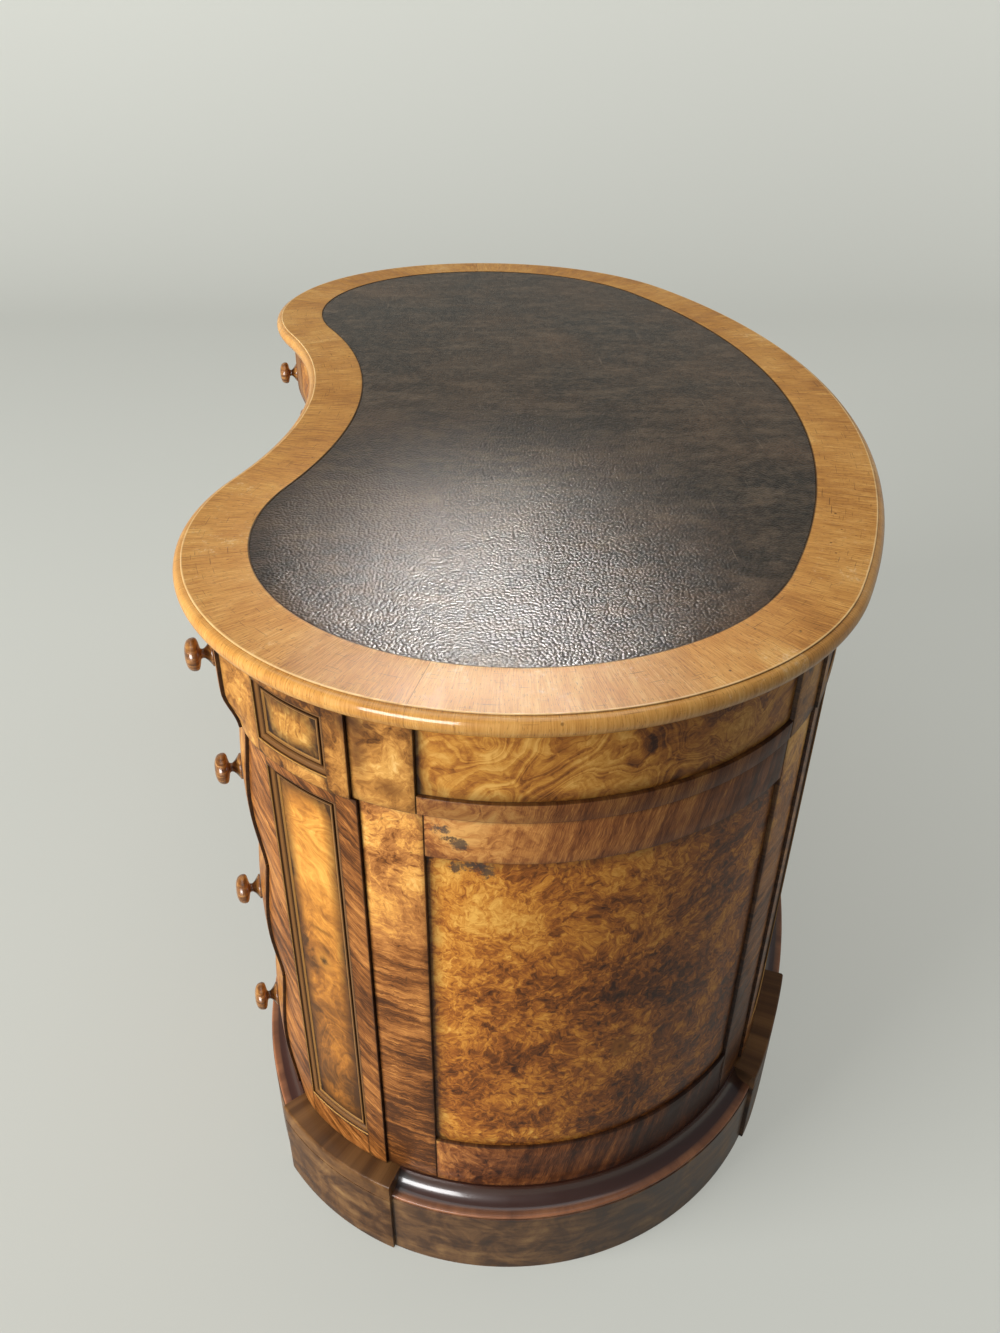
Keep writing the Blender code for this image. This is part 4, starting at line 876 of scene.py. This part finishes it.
def frieze_bay(leaf_name, rail_name, start, end, leaf, rail):
    """Sunk leaf between two stiles of the frieze, and the narrow rail along its foot."""
    sunk = FRIEZE_FACE + field_face
    under_rail = (0.0, 0.0, FRIEZE_RAIL, 0.0)
    bent(leaf_name, [board(start, end, band_levels, sunk, FRIEZE_BACK, soft=0.0, under=under_rail)],
         leaf, "burr_walnut")
    bent(rail_name, [
        board(start, end, [FRIEZE_FOOT, FRIEZE_FOOT + FRIEZE_RAIL], FRIEZE_FACE - BAY_STEP - RAIL_SHY,
              sunk - FRAME_SUNK)], rail, "walnut_veneer")


for side, stile, leaf, rail in (
    ("right", stile_burr, swirl_leaf, rail_grain), ("left", other_stile, other_swirl, other_rail),
):
    bent("frieze_margins_" + side, [
        *framed(corner_start, pilaster_front, corner_near, corner_far, frieze_levels, frieze_low,
                frieze_high, FRIEZE_FACE, FRIEZE_BACK, shaped_edge(corner_far, pilaster_front, FRIEZE_FACE)),
        *framed(pilaster_back, bay_back, rear_near, rear_far, frieze_levels, frieze_low,
                frieze_high, FRIEZE_FACE, FRIEZE_BACK),
    ], stile, "walnut_veneer", "frieze_end_" + side)
    bent("frieze_mouldings_" + side, [
        mitred_moulding(near, far, frieze_low, frieze_high, FRIEZE_FACE) for near, far in panel_spans
    ], moulding_walnut, "dark_walnut")
    bent("frieze_small_panels_" + side, [
        panel_leaf(near, far, frieze_low, frieze_high, FRIEZE_FACE, FRIEZE_BACK) for near, far in panel_spans
    ], small_panel, "burr_walnut")
    bent("frieze_stiles_" + side, frieze_stiles(
        (bay_back + FIT, bay_back + STILE_WIDTH), (corner_start - STILE_WIDTH, corner_start - FIT)
    ), stile, "walnut_veneer")
    frieze_bay("frieze_leaf_" + side, "frieze_rail_" + side, bay_back + STILE_WIDTH + FIT,
               corner_start - STILE_WIDTH - FIT, leaf, rail)
far_end = 2 * back_middle - pilaster_back
far_stile = far_end + STILE_WIDTH
bent("frieze_back_stiles", frieze_stiles((far_end + FIT, far_stile), (rear_stile, pilaster_back - FIT)),
     other_stile, "walnut_veneer", "frieze_back")
frieze_bay("frieze_back_leaf", "frieze_back_rail", far_stile + FIT, rear_stile - FIT, other_swirl, other_rail)

# Drawers: oak boxes with shaped fronts, veneered in figured walnut. The pedestal fronts swell like cushions
# and bow in plan, the frieze fronts turn under in an ogee, and the middle one follows the hollow of the top.
FRONT_THICK, FRONT_ARRIS, FRONT_STEP = 0.020, 0.001, 0.005
HOLLOW_STEPS = 40
SLIDE_GAP = 0.001
DRAWER_BOW = 0.016
CHEEK_THICK = 0.018
LEAN_DEPTH = 0.03
# Oak: dull straw-brown with grain running back and short dark flecks, bare wood.
oak = plain_wood(
    "drawer lining oak", (11, 140, 17), (6.0, 0.6),
    ((0.30, "#7c5e3a"), (0.46, "#a3814f"), (0.60, "#bb9a66"), (0.74, "#94734a")),
    (0.0, 1.0, 0.5, 0.7), (0.2, 0.0005), stain=((2, 25, 2), 2.0, 0.5, (0.58, 0.68, 0.5), "#5d4426"))
# Front veneer: mid-brown and curled, with soft bands, darker along the edges, partly with painted shade.
front_veneer = walnut_leaf("figured drawer walnut", (
    (0.39, "#361c0a"), (0.46, "#663b17"), (0.52, "#905a27"), (0.58, "#ad7634"), (0.66, "#c7964e")), 21.0,
    mix=(0.32, 0.28, 0.28), pins=0.5, rim=(0.35, 0.008), swirl=0.14)

outer_turn = turn_along(pilaster_front) + math.degrees(SLIDE_GAP / (HORN_RADIUS - JOINT_INSET))
proudest = JOINT_INSET - CUSHION_RISE
cushion_deep = JOINT_INSET + FRONT_THICK
ogee_deep = FRIEZE_INSET + FRIEZE_OGEE + FRONT_THICK
inner_x = KNEEHOLE_HALF + CHEEK_THICK + SLIDE_GAP
cushion_line = bowed_front("cushion_line", inner_x, outer_turn, DRAWER_BOW, proudest, cushion_deep)
ogee_line = bowed_front("ogee_line", inner_x, outer_turn, DRAWER_BOW, FRIEZE_INSET, ogee_deep)
centre_reach = KNEEHOLE_HALF - SLIDE_GAP
hollow_line = straightened(
    "hollow_line",
    [front_spot(centre_reach * (1 - k / HOLLOW_STEPS), FRIEZE_INSET) for k in range(2 * HOLLOW_STEPS + 1)],
    front_spot(centre_reach, FRIEZE_INSET + LEAN_DEPTH), front_spot(-centre_reach, FRIEZE_INSET + LEAN_DEPTH),
    LEAN_DEPTH)

# Knobs: mushroom knobs turned in walnut, with a flared collar, glued into the fronts on a turned spigot.
# Two to a drawer, square to the face where they stand.
KNOB_RADIUS, KNOB_LENGTH = 0.0152, 0.0255
KNOB_DROP, KNOB_LIFT = 0.005, 0.0006
CENTRE_KNOB = 0.115
turning, given = new_tree("turned knobs", (("Radius", "Float"), ("Length", "Float")))
tip = add(turning, "CombineXYZ", {"Z": given["Length"]})
spindle = add(turning, "GeometryNodeCurvePrimitiveLine", {"End": tip})
spindle = add(turning, "GeometryNodeResampleCurve", {"Curve": spindle, "Count": 64})
reach = add(turning, "GeometryNodeSplineParameter", out="Factor")
girth = add(turning, "FloatCurve", {"Value": reach}, stops=(
    (0.0, 0.84), (0.06, 0.83), (0.10, 0.74), (0.18, 0.55), (0.27, 0.38), (0.35, 0.29), (0.43, 0.30),
    (0.48, 0.50), (0.52, 0.78), (0.57, 0.94), (0.65, 1.0), (0.75, 0.985), (0.86, 0.89), (0.94, 0.68),
    (0.98, 0.42), (1.0, 0.0)))
girth = add(turning, "Math MULTIPLY", (girth, given["Radius"]))
spindle = add(turning, "GeometryNodeSetCurveRadius", {"Curve": spindle, "Radius": girth})
ring = add(turning, "GeometryNodeCurvePrimitiveCircle", {"Resolution": 48, "Radius": 1.0})
turned_mesh = add(turning, "GeometryNodeCurveToMesh", {
    "Curve": spindle, "Profile Curve": ring, "Fill Caps": True, "Scale": girth})
turned_mesh = add(turning, "GeometryNodeSetShadeSmooth", {"Geometry": turned_mesh})
aim = add(turning, "GeometryNodeInputNamedAttribute", {"Name": "outward"}, data_type="FLOAT_VECTOR")
aim = add(turning, "FunctionNodeAlignRotationToVector", {"Vector": aim}, axis="Z")
placed = add(turning, "GeometryNodeInstanceOnPoints", {
    "Points": given["Geometry"], "Instance": turned_mesh, "Rotation": aim})
close_tree(turning, placed, given["Finish"])

# Turned walnut: mid-brown with fine level streaks, polished bright by hands.
turned_walnut = plain_wood(
    "turned knob walnut", (17, 17, 2.4), (5.0, 0.6, 0.4),
    ((0.32, "#4a2a10"), (0.48, "#7a4d22"), (0.60, "#9c6b35"), (0.74, "#b98a4c")),
    (0.3, 0.7, 0.29, 0.38), (0.12, 0.0003), coat=(0.6, 0.08))


def make_drawer(name, foot, head, front, inset, deep, knob_xs=None):
    """Front and knobs of one drawer, standing for its solids, and oak for its box. The knobs stand as far
    from the middle of the desk as their solids do, unless it is said where."""
    line, start, end, leans = front
    levels = evenly(foot + SLIDE_GAP, head - SLIDE_GAP, FRONT_STEP)
    bent(name + "_veneered_front", [
        board(start, end, levels, lambda s, z: inset - front_inset(z), inset - deep,
              soft=FRONT_ARRIS, step=FINE_STEP, leans=leans),
    ], front_veneer, "walnut_veneer", name + "_front", line=line, body=name)
    faced(name + "_box", oak)
    solids = (name + "_knob_inner", name + "_knob_outer")
    knob_xs = knob_xs or sorted(sum(abs(corner.x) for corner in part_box(solid)) / 2 for solid in solids)
    spots = [Vector(point.co[:2]) for point in line.data.splines[0].points]
    height = (foot + head) / 2 - KNOB_DROP
    hand = -1 if "left" in name else 1
    seats, aims = [], []
    for x in knob_xs:
        a, b = next(pair for pair in zip(spots, spots[1:]) if pair[0].x >= x >= pair[1].x)
        away = Vector((-(b - a).y, (b - a).x)).normalized()
        place = a.lerp(b, (x - a.x) / (b.x - a.x)) + away * (inset - front_inset(height) + KNOB_LIFT)
        seats.append((hand * place.x, place.y, height))
        aims += [hand * away.x, away.y, 0.0]
    seat_mesh = bpy.data.meshes.new(name + "_seats")
    seat_mesh.from_pydata(seats, [], [])
    seat_mesh.attributes.new("outward", "FLOAT_VECTOR", "POINT").data.foreach_set("vector", aims)
    knobs = grown(name + "_knobs", seat_mesh, turning, {
        "Radius": KNOB_RADIUS, "Length": KNOB_LENGTH, "Finish": turned_walnut})
    settled(knobs, name, solids)


for side in ("right", "left"):
    name = "drawer_" + side + "_"
    for label, (foot, head) in zip(("lower", "middle", "upper"), TIERS):
        make_drawer(name + label, foot, head, cushion_line, proudest, cushion_deep)
    make_drawer(name + "frieze", FRIEZE_FOOT, TOP_FOOT, ogee_line, FRIEZE_INSET, ogee_deep)
make_drawer("drawer_centre_frieze", FRIEZE_FOOT, TOP_FOOT, hollow_line, FRIEZE_INSET, ogee_deep,
            (-CENTRE_KNOB, CENTRE_KNOB))
for line in (wall_line, front_line, cushion_line[0], ogee_line[0], hollow_line[0]):
    bpy.data.objects.remove(line)

# Top: a pine board with a thumb-moulded edge, its border cross-banded in golden walnut laid in short lengths
# round a sunk field. It is screwed down on the frieze from below.
TOP_THICK = 0.021
FLAT_INSET = 0.39 * TOP_THICK
LEATHER_MARGIN = 0.0675
FIELD_DEEP, FIELD_ARRIS = 0.0019, 0.0001
BORDER_STEP, BORDER_ARRIS = 0.008, 0.0006
THUMB = ((0.55, 0.0), (0.30, 0.06), (0.10, 0.24), (0.0, 0.50), (0.05, 0.74), (0.18, 0.88), (0.36, 0.925))
top_turns = evenly(0.0, BACK_TURN, 1.0)
top_turns += evenly(BACK_TURN, END_TURN, 1.0)[1:] + evenly(END_TURN, horn_turn, 1.0)[1:]


def kidney(inset, height):
    """Closed kidney line at one inset and height, from the middle of the back."""
    right = [wall_spot(turn, inset) for turn in top_turns]
    hollow = [hollow_centre + (hollow_radius + inset) * facing(turn)
              for turn in evenly(-hollow_turn, hollow_turn, 0.6)[-2:0:-1]]
    left = [Vector((-spot.x, spot.y)) for spot in reversed(right[1:])]
    return [(spot.x, spot.y, height) for spot in right + hollow + left]


def kidney_skin(name, profile, finish, solid):
    """Closed body over kidney lines, standing for a solid; its map runs round the edge and across it."""
    rings = [kidney(inset, TOP_FOOT + rise) for inset, rise in profile]
    size = len(rings[0])
    points = [point for ring in rings for point in ring]
    ends = [list(range(size)), list(range(len(points) - size, len(points)))]
    faces, corners = charted(len(rings), lengths(rings[0] + rings[0][:1]), lengths(profile))
    corners = [[points[k][:2] for k in face] for face in ends] + corners
    skin = drawn(name, [(points, ends + faces, corners, [0.0] * len(points))])
    skin.materials.append(finish)
    settled(shown(name, skin), "desk", (solid,))


edge_profile = []
for k in range(len(THUMB) - 1):
    before, a, b, after = (Vector(THUMB[max(0, min(len(THUMB) - 1, k + d))]) for d in (-1, 0, 1, 2))
    for t in (0.0, 0.2, 0.4, 0.6, 0.8):
        curve = (2 * before - 5 * a + 4 * b - after) + t * (3 * a - before - 3 * b + after)
        spot = a + 0.5 * t * ((b - before) + t * curve)
        edge_profile.append((max(0.0, spot.x) * TOP_THICK, max(0.0, spot.y) * TOP_THICK))
edge_profile += [(x * TOP_THICK, z * TOP_THICK) for x, z in ((0.36, 0.925), (0.37, 0.985), (0.39, 1.0))]
nose_length = lengths(edge_profile)[-1]
border_insets = evenly(FLAT_INSET, LEATHER_MARGIN - BORDER_ARRIS, BORDER_STEP)
edge_profile += [(inset, TOP_THICK) for inset in border_insets[1:]]
edge_profile += [(LEATHER_MARGIN, TOP_THICK - FIELD_ARRIS), (LEATHER_MARGIN, TOP_THICK - FIELD_DEEP)]

# Border walnut: tan-gold, with fine short grain across the band, dark pores, brown clouds and scratches, a
# joint every so often, a pale rubbed arris where the flat ends and a glossier golden nose below it.
border_walnut, tree, shader = new_finish("cross-banded border walnut")
spot = add(tree, "UVMap")
parts = add(tree, "SeparateXYZ", (spot,)).node.outputs
length_no = add(tree, "Math MULTIPLY", (parts["X"], per(320)))
joint = add(tree, "Math FRACT", (length_no,))
joint = add(tree, "MapRange", (joint, 0.001, 0.003, 0.6, 0.0))
length_no = add(tree, "Math FLOOR", (length_no,))
leaf_tone = add(tree, "TexWhiteNoise", {"W": length_no}, "Value", noise_dimensions="1D")
shifted = add(tree, "CombineXYZ", (parts["X"], parts["Y"], length_no))
warp = add(tree, "TexNoise", {"Vector": shifted, "Scale": per(33), "Detail": 4.0}, 1)
waved = add(tree, "VectorMath MULTIPLY_ADD", (warp, (0.004, 0.004, 0.0), shifted))
grain = figure(tree, waved, (1.3, 28), 4.0, 0.6)
cloud = figure(tree, waved, (14, 62), 8.0, 0.65)
smudge = figure(tree, shifted, 140, 5.0, 0.6)
tone = summed(tree, 0.0, ((cloud, 0.390), (grain, 0.663), (smudge, 0.468), (leaf_tone, 0.0468)))
tint = add(tree, "ValToRGB", (tone,), stops=(
    (0.46, "#573412"), (0.62, "#8f5c27"), (0.75, "#b57d3a"), (0.87, "#ca964f"), (0.99, "#d9ae6c")))
pores = figure(tree, waved, (0.8, 6), 1.0, band=(0.63, 0.71, 0.7))
scrape = figure(tree, spot, (33, 1.3), 1.0, turn=0.9, band=(0.69, 0.73, 0.65))
scuff = figure(tree, spot, 8, 6.0, 0.75)
scuff = add(tree, "Math MULTIPLY", (scuff, smudge))
scuff = add(tree, "MapRange", (scuff, 0.33, 0.42, 0.0, 0.7))
dents = add(tree, "TexVoronoi", {"Vector": spot, "Scale": per(26)})
dents = add(tree, "MapRange", (dents, 0.035, 0.065, 0.8, 0.0))
dents = add(tree, "Math MAXIMUM", (dents, joint))
nose = add(tree, "MapRange", (parts["Y"], nose_length - 0.004, nose_length - 0.001, 1.0, 0.0))
golden = add(tree, "Math MULTIPLY", (nose, 0.3))
beyond = add(tree, "Math SUBTRACT", (parts["Y"], nose_length))
quirk = add(tree, "MapRange", (beyond, -0.0022, -0.0012, 0.0, 0.7))
hollowed = add(tree, "MapRange", (beyond, -0.0009, -0.0005, 1.0, 0.0))
quirk = add(tree, "Math MULTIPLY", (quirk, hollowed))
inlay = nose_length + LEATHER_MARGIN - FLAT_INSET
groove = add(tree, "MapRange", (parts["Y"], inlay - 0.0016, inlay - 0.0006, 0.0, 0.85))
arris = add(tree, "Math ABSOLUTE", (beyond,))
arris = add(tree, "MapRange", (arris, 0.0005, 0.0012, 1.7, 0.0))
arris = add(tree, "Math MULTIPLY", (arris, cloud), use_clamp=True)
for share, code in ((pores, "#472610"), (scrape, "#4d2f16"), (scuff, "#dcbf97"), (dents, "#38200e"),
                    (golden, "#c89044"), (quirk, "#472a12"), (groove, "#20130a"), (arris, "#dcb880")):
    tint = add(tree, "MixRGB", (share, tint, colour(code)))
relief = add(tree, "Bump", {"Strength": 0.12, "Distance": 0.0003, "Height": grain})
relief = add(tree, "Bump", {"Strength": 0.3, "Distance": 0.0005, "Height": dents, "Normal": relief},
             invert=True)
wire(tree, shader, {
    "Base Color": tint, "Roughness": add(tree, "MapRange", (cloud, 0.3, 0.7, 0.34, 0.50)), "Normal": relief,
    "Coat Weight": add(tree, "Math MULTIPLY", (nose, 0.7)), "Coat Roughness": 0.08,
    "Specular IOR Level": 0.14})
kidney_skin("top_with_border", edge_profile, border_walnut, "top_board")

# Writing leather: a brown-black hide, pasted into the sunk field. It is pebbled, rubbed grey where arms have
# lain, and polished by use.
LEATHER_SINK, LEATHER_THICK = 0.0004, 0.0012
LEATHER_EDGE = ((FIT, LEATHER_THICK), (FIT, 0.0004), (0.0006, 0.0001), (0.0012, 0.0), (0.02, 0.0))
# Hide: the pebble breaks up its shine. It is drawn at 2.9 mm, coarser than the real one, so that it shows.
hide, tree, shader = new_finish("worn writing hide")
spot = add(tree, "TexCoord", out="Object")
shaken = add(tree, "TexNoise", {"Vector": spot, "Scale": per(3.2), "Detail": 2.0}, 1)
shaken = add(tree, "VectorMath MULTIPLY_ADD", (shaken, (0.0019, 0.0019, 0.0), spot))
pebble = add(tree, "TexVoronoi", {"Vector": shaken, "Scale": per(2.9)}, "Distance", voronoi_dimensions="2D")
swell = figure(tree, spot, 62, 1.0)
cloud = figure(tree, spot, 165, 9.0, 0.62)
tint = add(tree, "ValToRGB", (cloud,), stops=(
    (0.30, "#0d0704"), (0.45, "#22150c"), (0.56, "#392718"), (0.70, "#5a4330")))
# Painted shade: the creases between the pebbles are darker, as shade lies in them.
crease_shade = add(tree, "MapRange", (pebble, 0.30, 0.62, 0.0, 0.7))
rub = figure(tree, spot, 9, 7.0, 0.8, band=(0.46, 0.72, 0.45))
wear = figure(tree, spot, (22, 55), 8.0, 0.78, band=(0.48, 0.72, 0.6))
scratch = figure(tree, spot, (70, 2.6), 1.0, turn=0.35, band=(0.74, 0.80, 0.4))
for share, code in ((crease_shade, "#140d08"), (rub, "#7b6854"), (wear, "#75614c"), (scratch, "#8d7b69")):
    tint = add(tree, "MixRGB", (share, tint, colour(code)))
relief = add(tree, "Bump", {"Strength": 0.7, "Distance": 0.0005, "Height": pebble}, invert=True)
relief = add(tree, "Bump", {"Strength": 0.3, "Distance": 0.002, "Height": swell, "Normal": relief})
wire(tree, shader, {
    "Base Color": tint, "Roughness": add(tree, "MapRange", (cloud, 0.3, 0.7, 0.285, 0.33)), "Normal": relief,
    "Specular IOR Level": 0.26, "Specular Tint": colour("#faf1e9")})
kidney_skin("writing_hide", [
    (LEATHER_MARGIN + inward, TOP_THICK - LEATHER_SINK - drop) for inward, drop in LEATHER_EDGE
], hide, "writing_leather")

# Floor and backdrop: one pale sheet that turns up far behind the desk. It has a painted glow for the eye
# and for reflections, stronger higher up, so they see it paler than the light that it throws back on the
# desk.
FLOOR_DROP = 0.0005
FLOOR_HALF = 8.0
FLOOR_NEAR, FLOOR_FAR, TURN_RADIUS, SHEET_HEAD = 6.0, -3.0, 1.5, 6.0
sheet, tree, shader = new_finish("pale studio floor")
path = add(tree, "LightPath").node.outputs
seen = add(tree, "Math MULTIPLY_ADD", (path["Is Glossy Ray"], 0.4, path["Is Camera Ray"]))
rise = add(tree, "SeparateXYZ", (add(tree, "TexCoord", out="Object"),), "Z")
# Painted glow: brighter higher up the backdrop.
rise = add(tree, "MapRange", (rise, 0.0, 1.2, 0.56, 0.74))
wire(tree, shader, {
    "Base Color": add(tree, "MixRGB", (seen, colour("#8d8c84"), colour("#8f908a"))), "Roughness": 0.8,
    "Specular IOR Level": 0.1, "Emission Color": colour("#c4c5bd"),
    "Emission Strength": add(tree, "Math MULTIPLY", (seen, rise))})
floor_spots = [(FLOOR_NEAR, 0.0), (FLOOR_FAR, 0.0)]
floor_spots += [(FLOOR_FAR - TURN_RADIUS * math.sin(a), TURN_RADIUS - TURN_RADIUS * math.cos(a))
                for a in evenly(0.1, math.pi / 2, 0.1)]
floor_spots.append((FLOOR_FAR - TURN_RADIUS, SHEET_HEAD))
floor_points = [(x, y, z - FLOOR_DROP) for x, z in floor_spots for y in (-FLOOR_HALF, FLOOR_HALF)]
floor_faces = [(2 * k, 2 * k + 1, 2 * k + 3, 2 * k + 2) for k in range(len(floor_spots) - 1)]
floor_mesh = bpy.data.meshes.new("studio_floor")
floor_mesh.from_pydata(floor_points, [], floor_faces)
for polygon in floor_mesh.polygons:
    polygon.use_smooth = True
floor_mesh.materials.append(sheet)
shown("studio_floor", floor_mesh)

# Light: a broad soft key at the left of the near end, a fill at the right and a weak ceiling. Two more lamps
# light the polish alone: a window at the near corner for the top's nose and the plinth's cove, and one beyond
# the far end for the hide. The eye sees the world beyond the sheet as pale as the sheet.
world = bpy.data.worlds.new("studio")
world.use_nodes = True
tree = world.node_tree
around = tree.nodes["Background"]
wire(tree, around, {"Color": colour("#e7ebf0"), "Strength": 0.22})
beyond_sheet = add(tree, "Background", {"Color": colour("#c9cac3")})
seen = add(tree, "LightPath", out="Is Camera Ray")
mixed = add(tree, "MixShader", (seen, around.outputs[0], beyond_sheet))
wire(tree, tree.nodes["World Output"], {"Surface": mixed})
bpy.context.scene.world = world
for name, place, aim, size, spread, watts, lit in (
    ("key", (2.7, -5.8, 1.9), (0.5, -0.1, 0.45), (4.1, 3.1), 3.1, 800.0, "diffuse"),
    ("fill", (-2.2, 6.0, 2.3), (0.0, 0.0, 0.45), (4.0, 3.0), 3.1, 110.0, "diffuse"),
    ("near_window", (5.7, -3.4, 1.9), (0.5, -0.1, 0.45), (3.2, 2.6), 3.1, 480.0, "glossy"),
    ("far_window", (-0.95, -0.06, 2.08), (0.62, -0.09, 0.74), (0.36, 0.3), 0.38, 0.9, "glossy"),
    ("ceiling", (0.2, -0.4, 3.4), (0.2, -0.1, 0.7), (3.0, 3.0), 3.1, 36.0, "both"),
):
    lamp = bpy.data.lights.new(name, "AREA")
    lamp.shape = "RECTANGLE"
    lamp.size, lamp.size_y = size
    lamp.spread = spread
    lamp.energy = watts
    holder = shown(name, lamp)
    holder.location = place
    holder.visible_camera = False
    holder.visible_diffuse = lit != "glossy"
    holder.visible_glossy = lit != "diffuse"
    holder.rotation_euler = (Vector(aim) - Vector(place)).to_track_quat("-Z", "Y").to_euler()

# Camera: close to the near end, a little above the top, looking down along the desk.
EYE_PLACE = (1.274, -0.117, 1.184)
EYE_ANGLES = (-3.15, 33.61, 0.68)
lens = bpy.data.cameras.new("photo_view")
lens.sensor_fit = "AUTO"
lens.sensor_width = 36.0
lens.lens = 28.757
lens.clip_start = 0.01
yaw, pitch, roll = (math.radians(angle) for angle in EYE_ANGLES)
ahead = Vector((-math.cos(yaw) * math.cos(pitch), -math.sin(yaw) * math.cos(pitch), -math.sin(pitch)))
across_view = ahead.cross(Vector((0.0, 0.0, 1.0))).normalized()
up_view = across_view.cross(ahead)
right_axis = across_view * math.cos(roll) + up_view * math.sin(roll)
up_axis = up_view * math.cos(roll) - across_view * math.sin(roll)
eye = shown("photo_view", lens)
eye.matrix_world = Matrix.Translation(EYE_PLACE) @ Matrix((right_axis, up_axis, -ahead)).transposed().to_4x4()
bpy.context.scene.camera = eye
bpy.context.scene.view_settings.view_transform = "Standard"
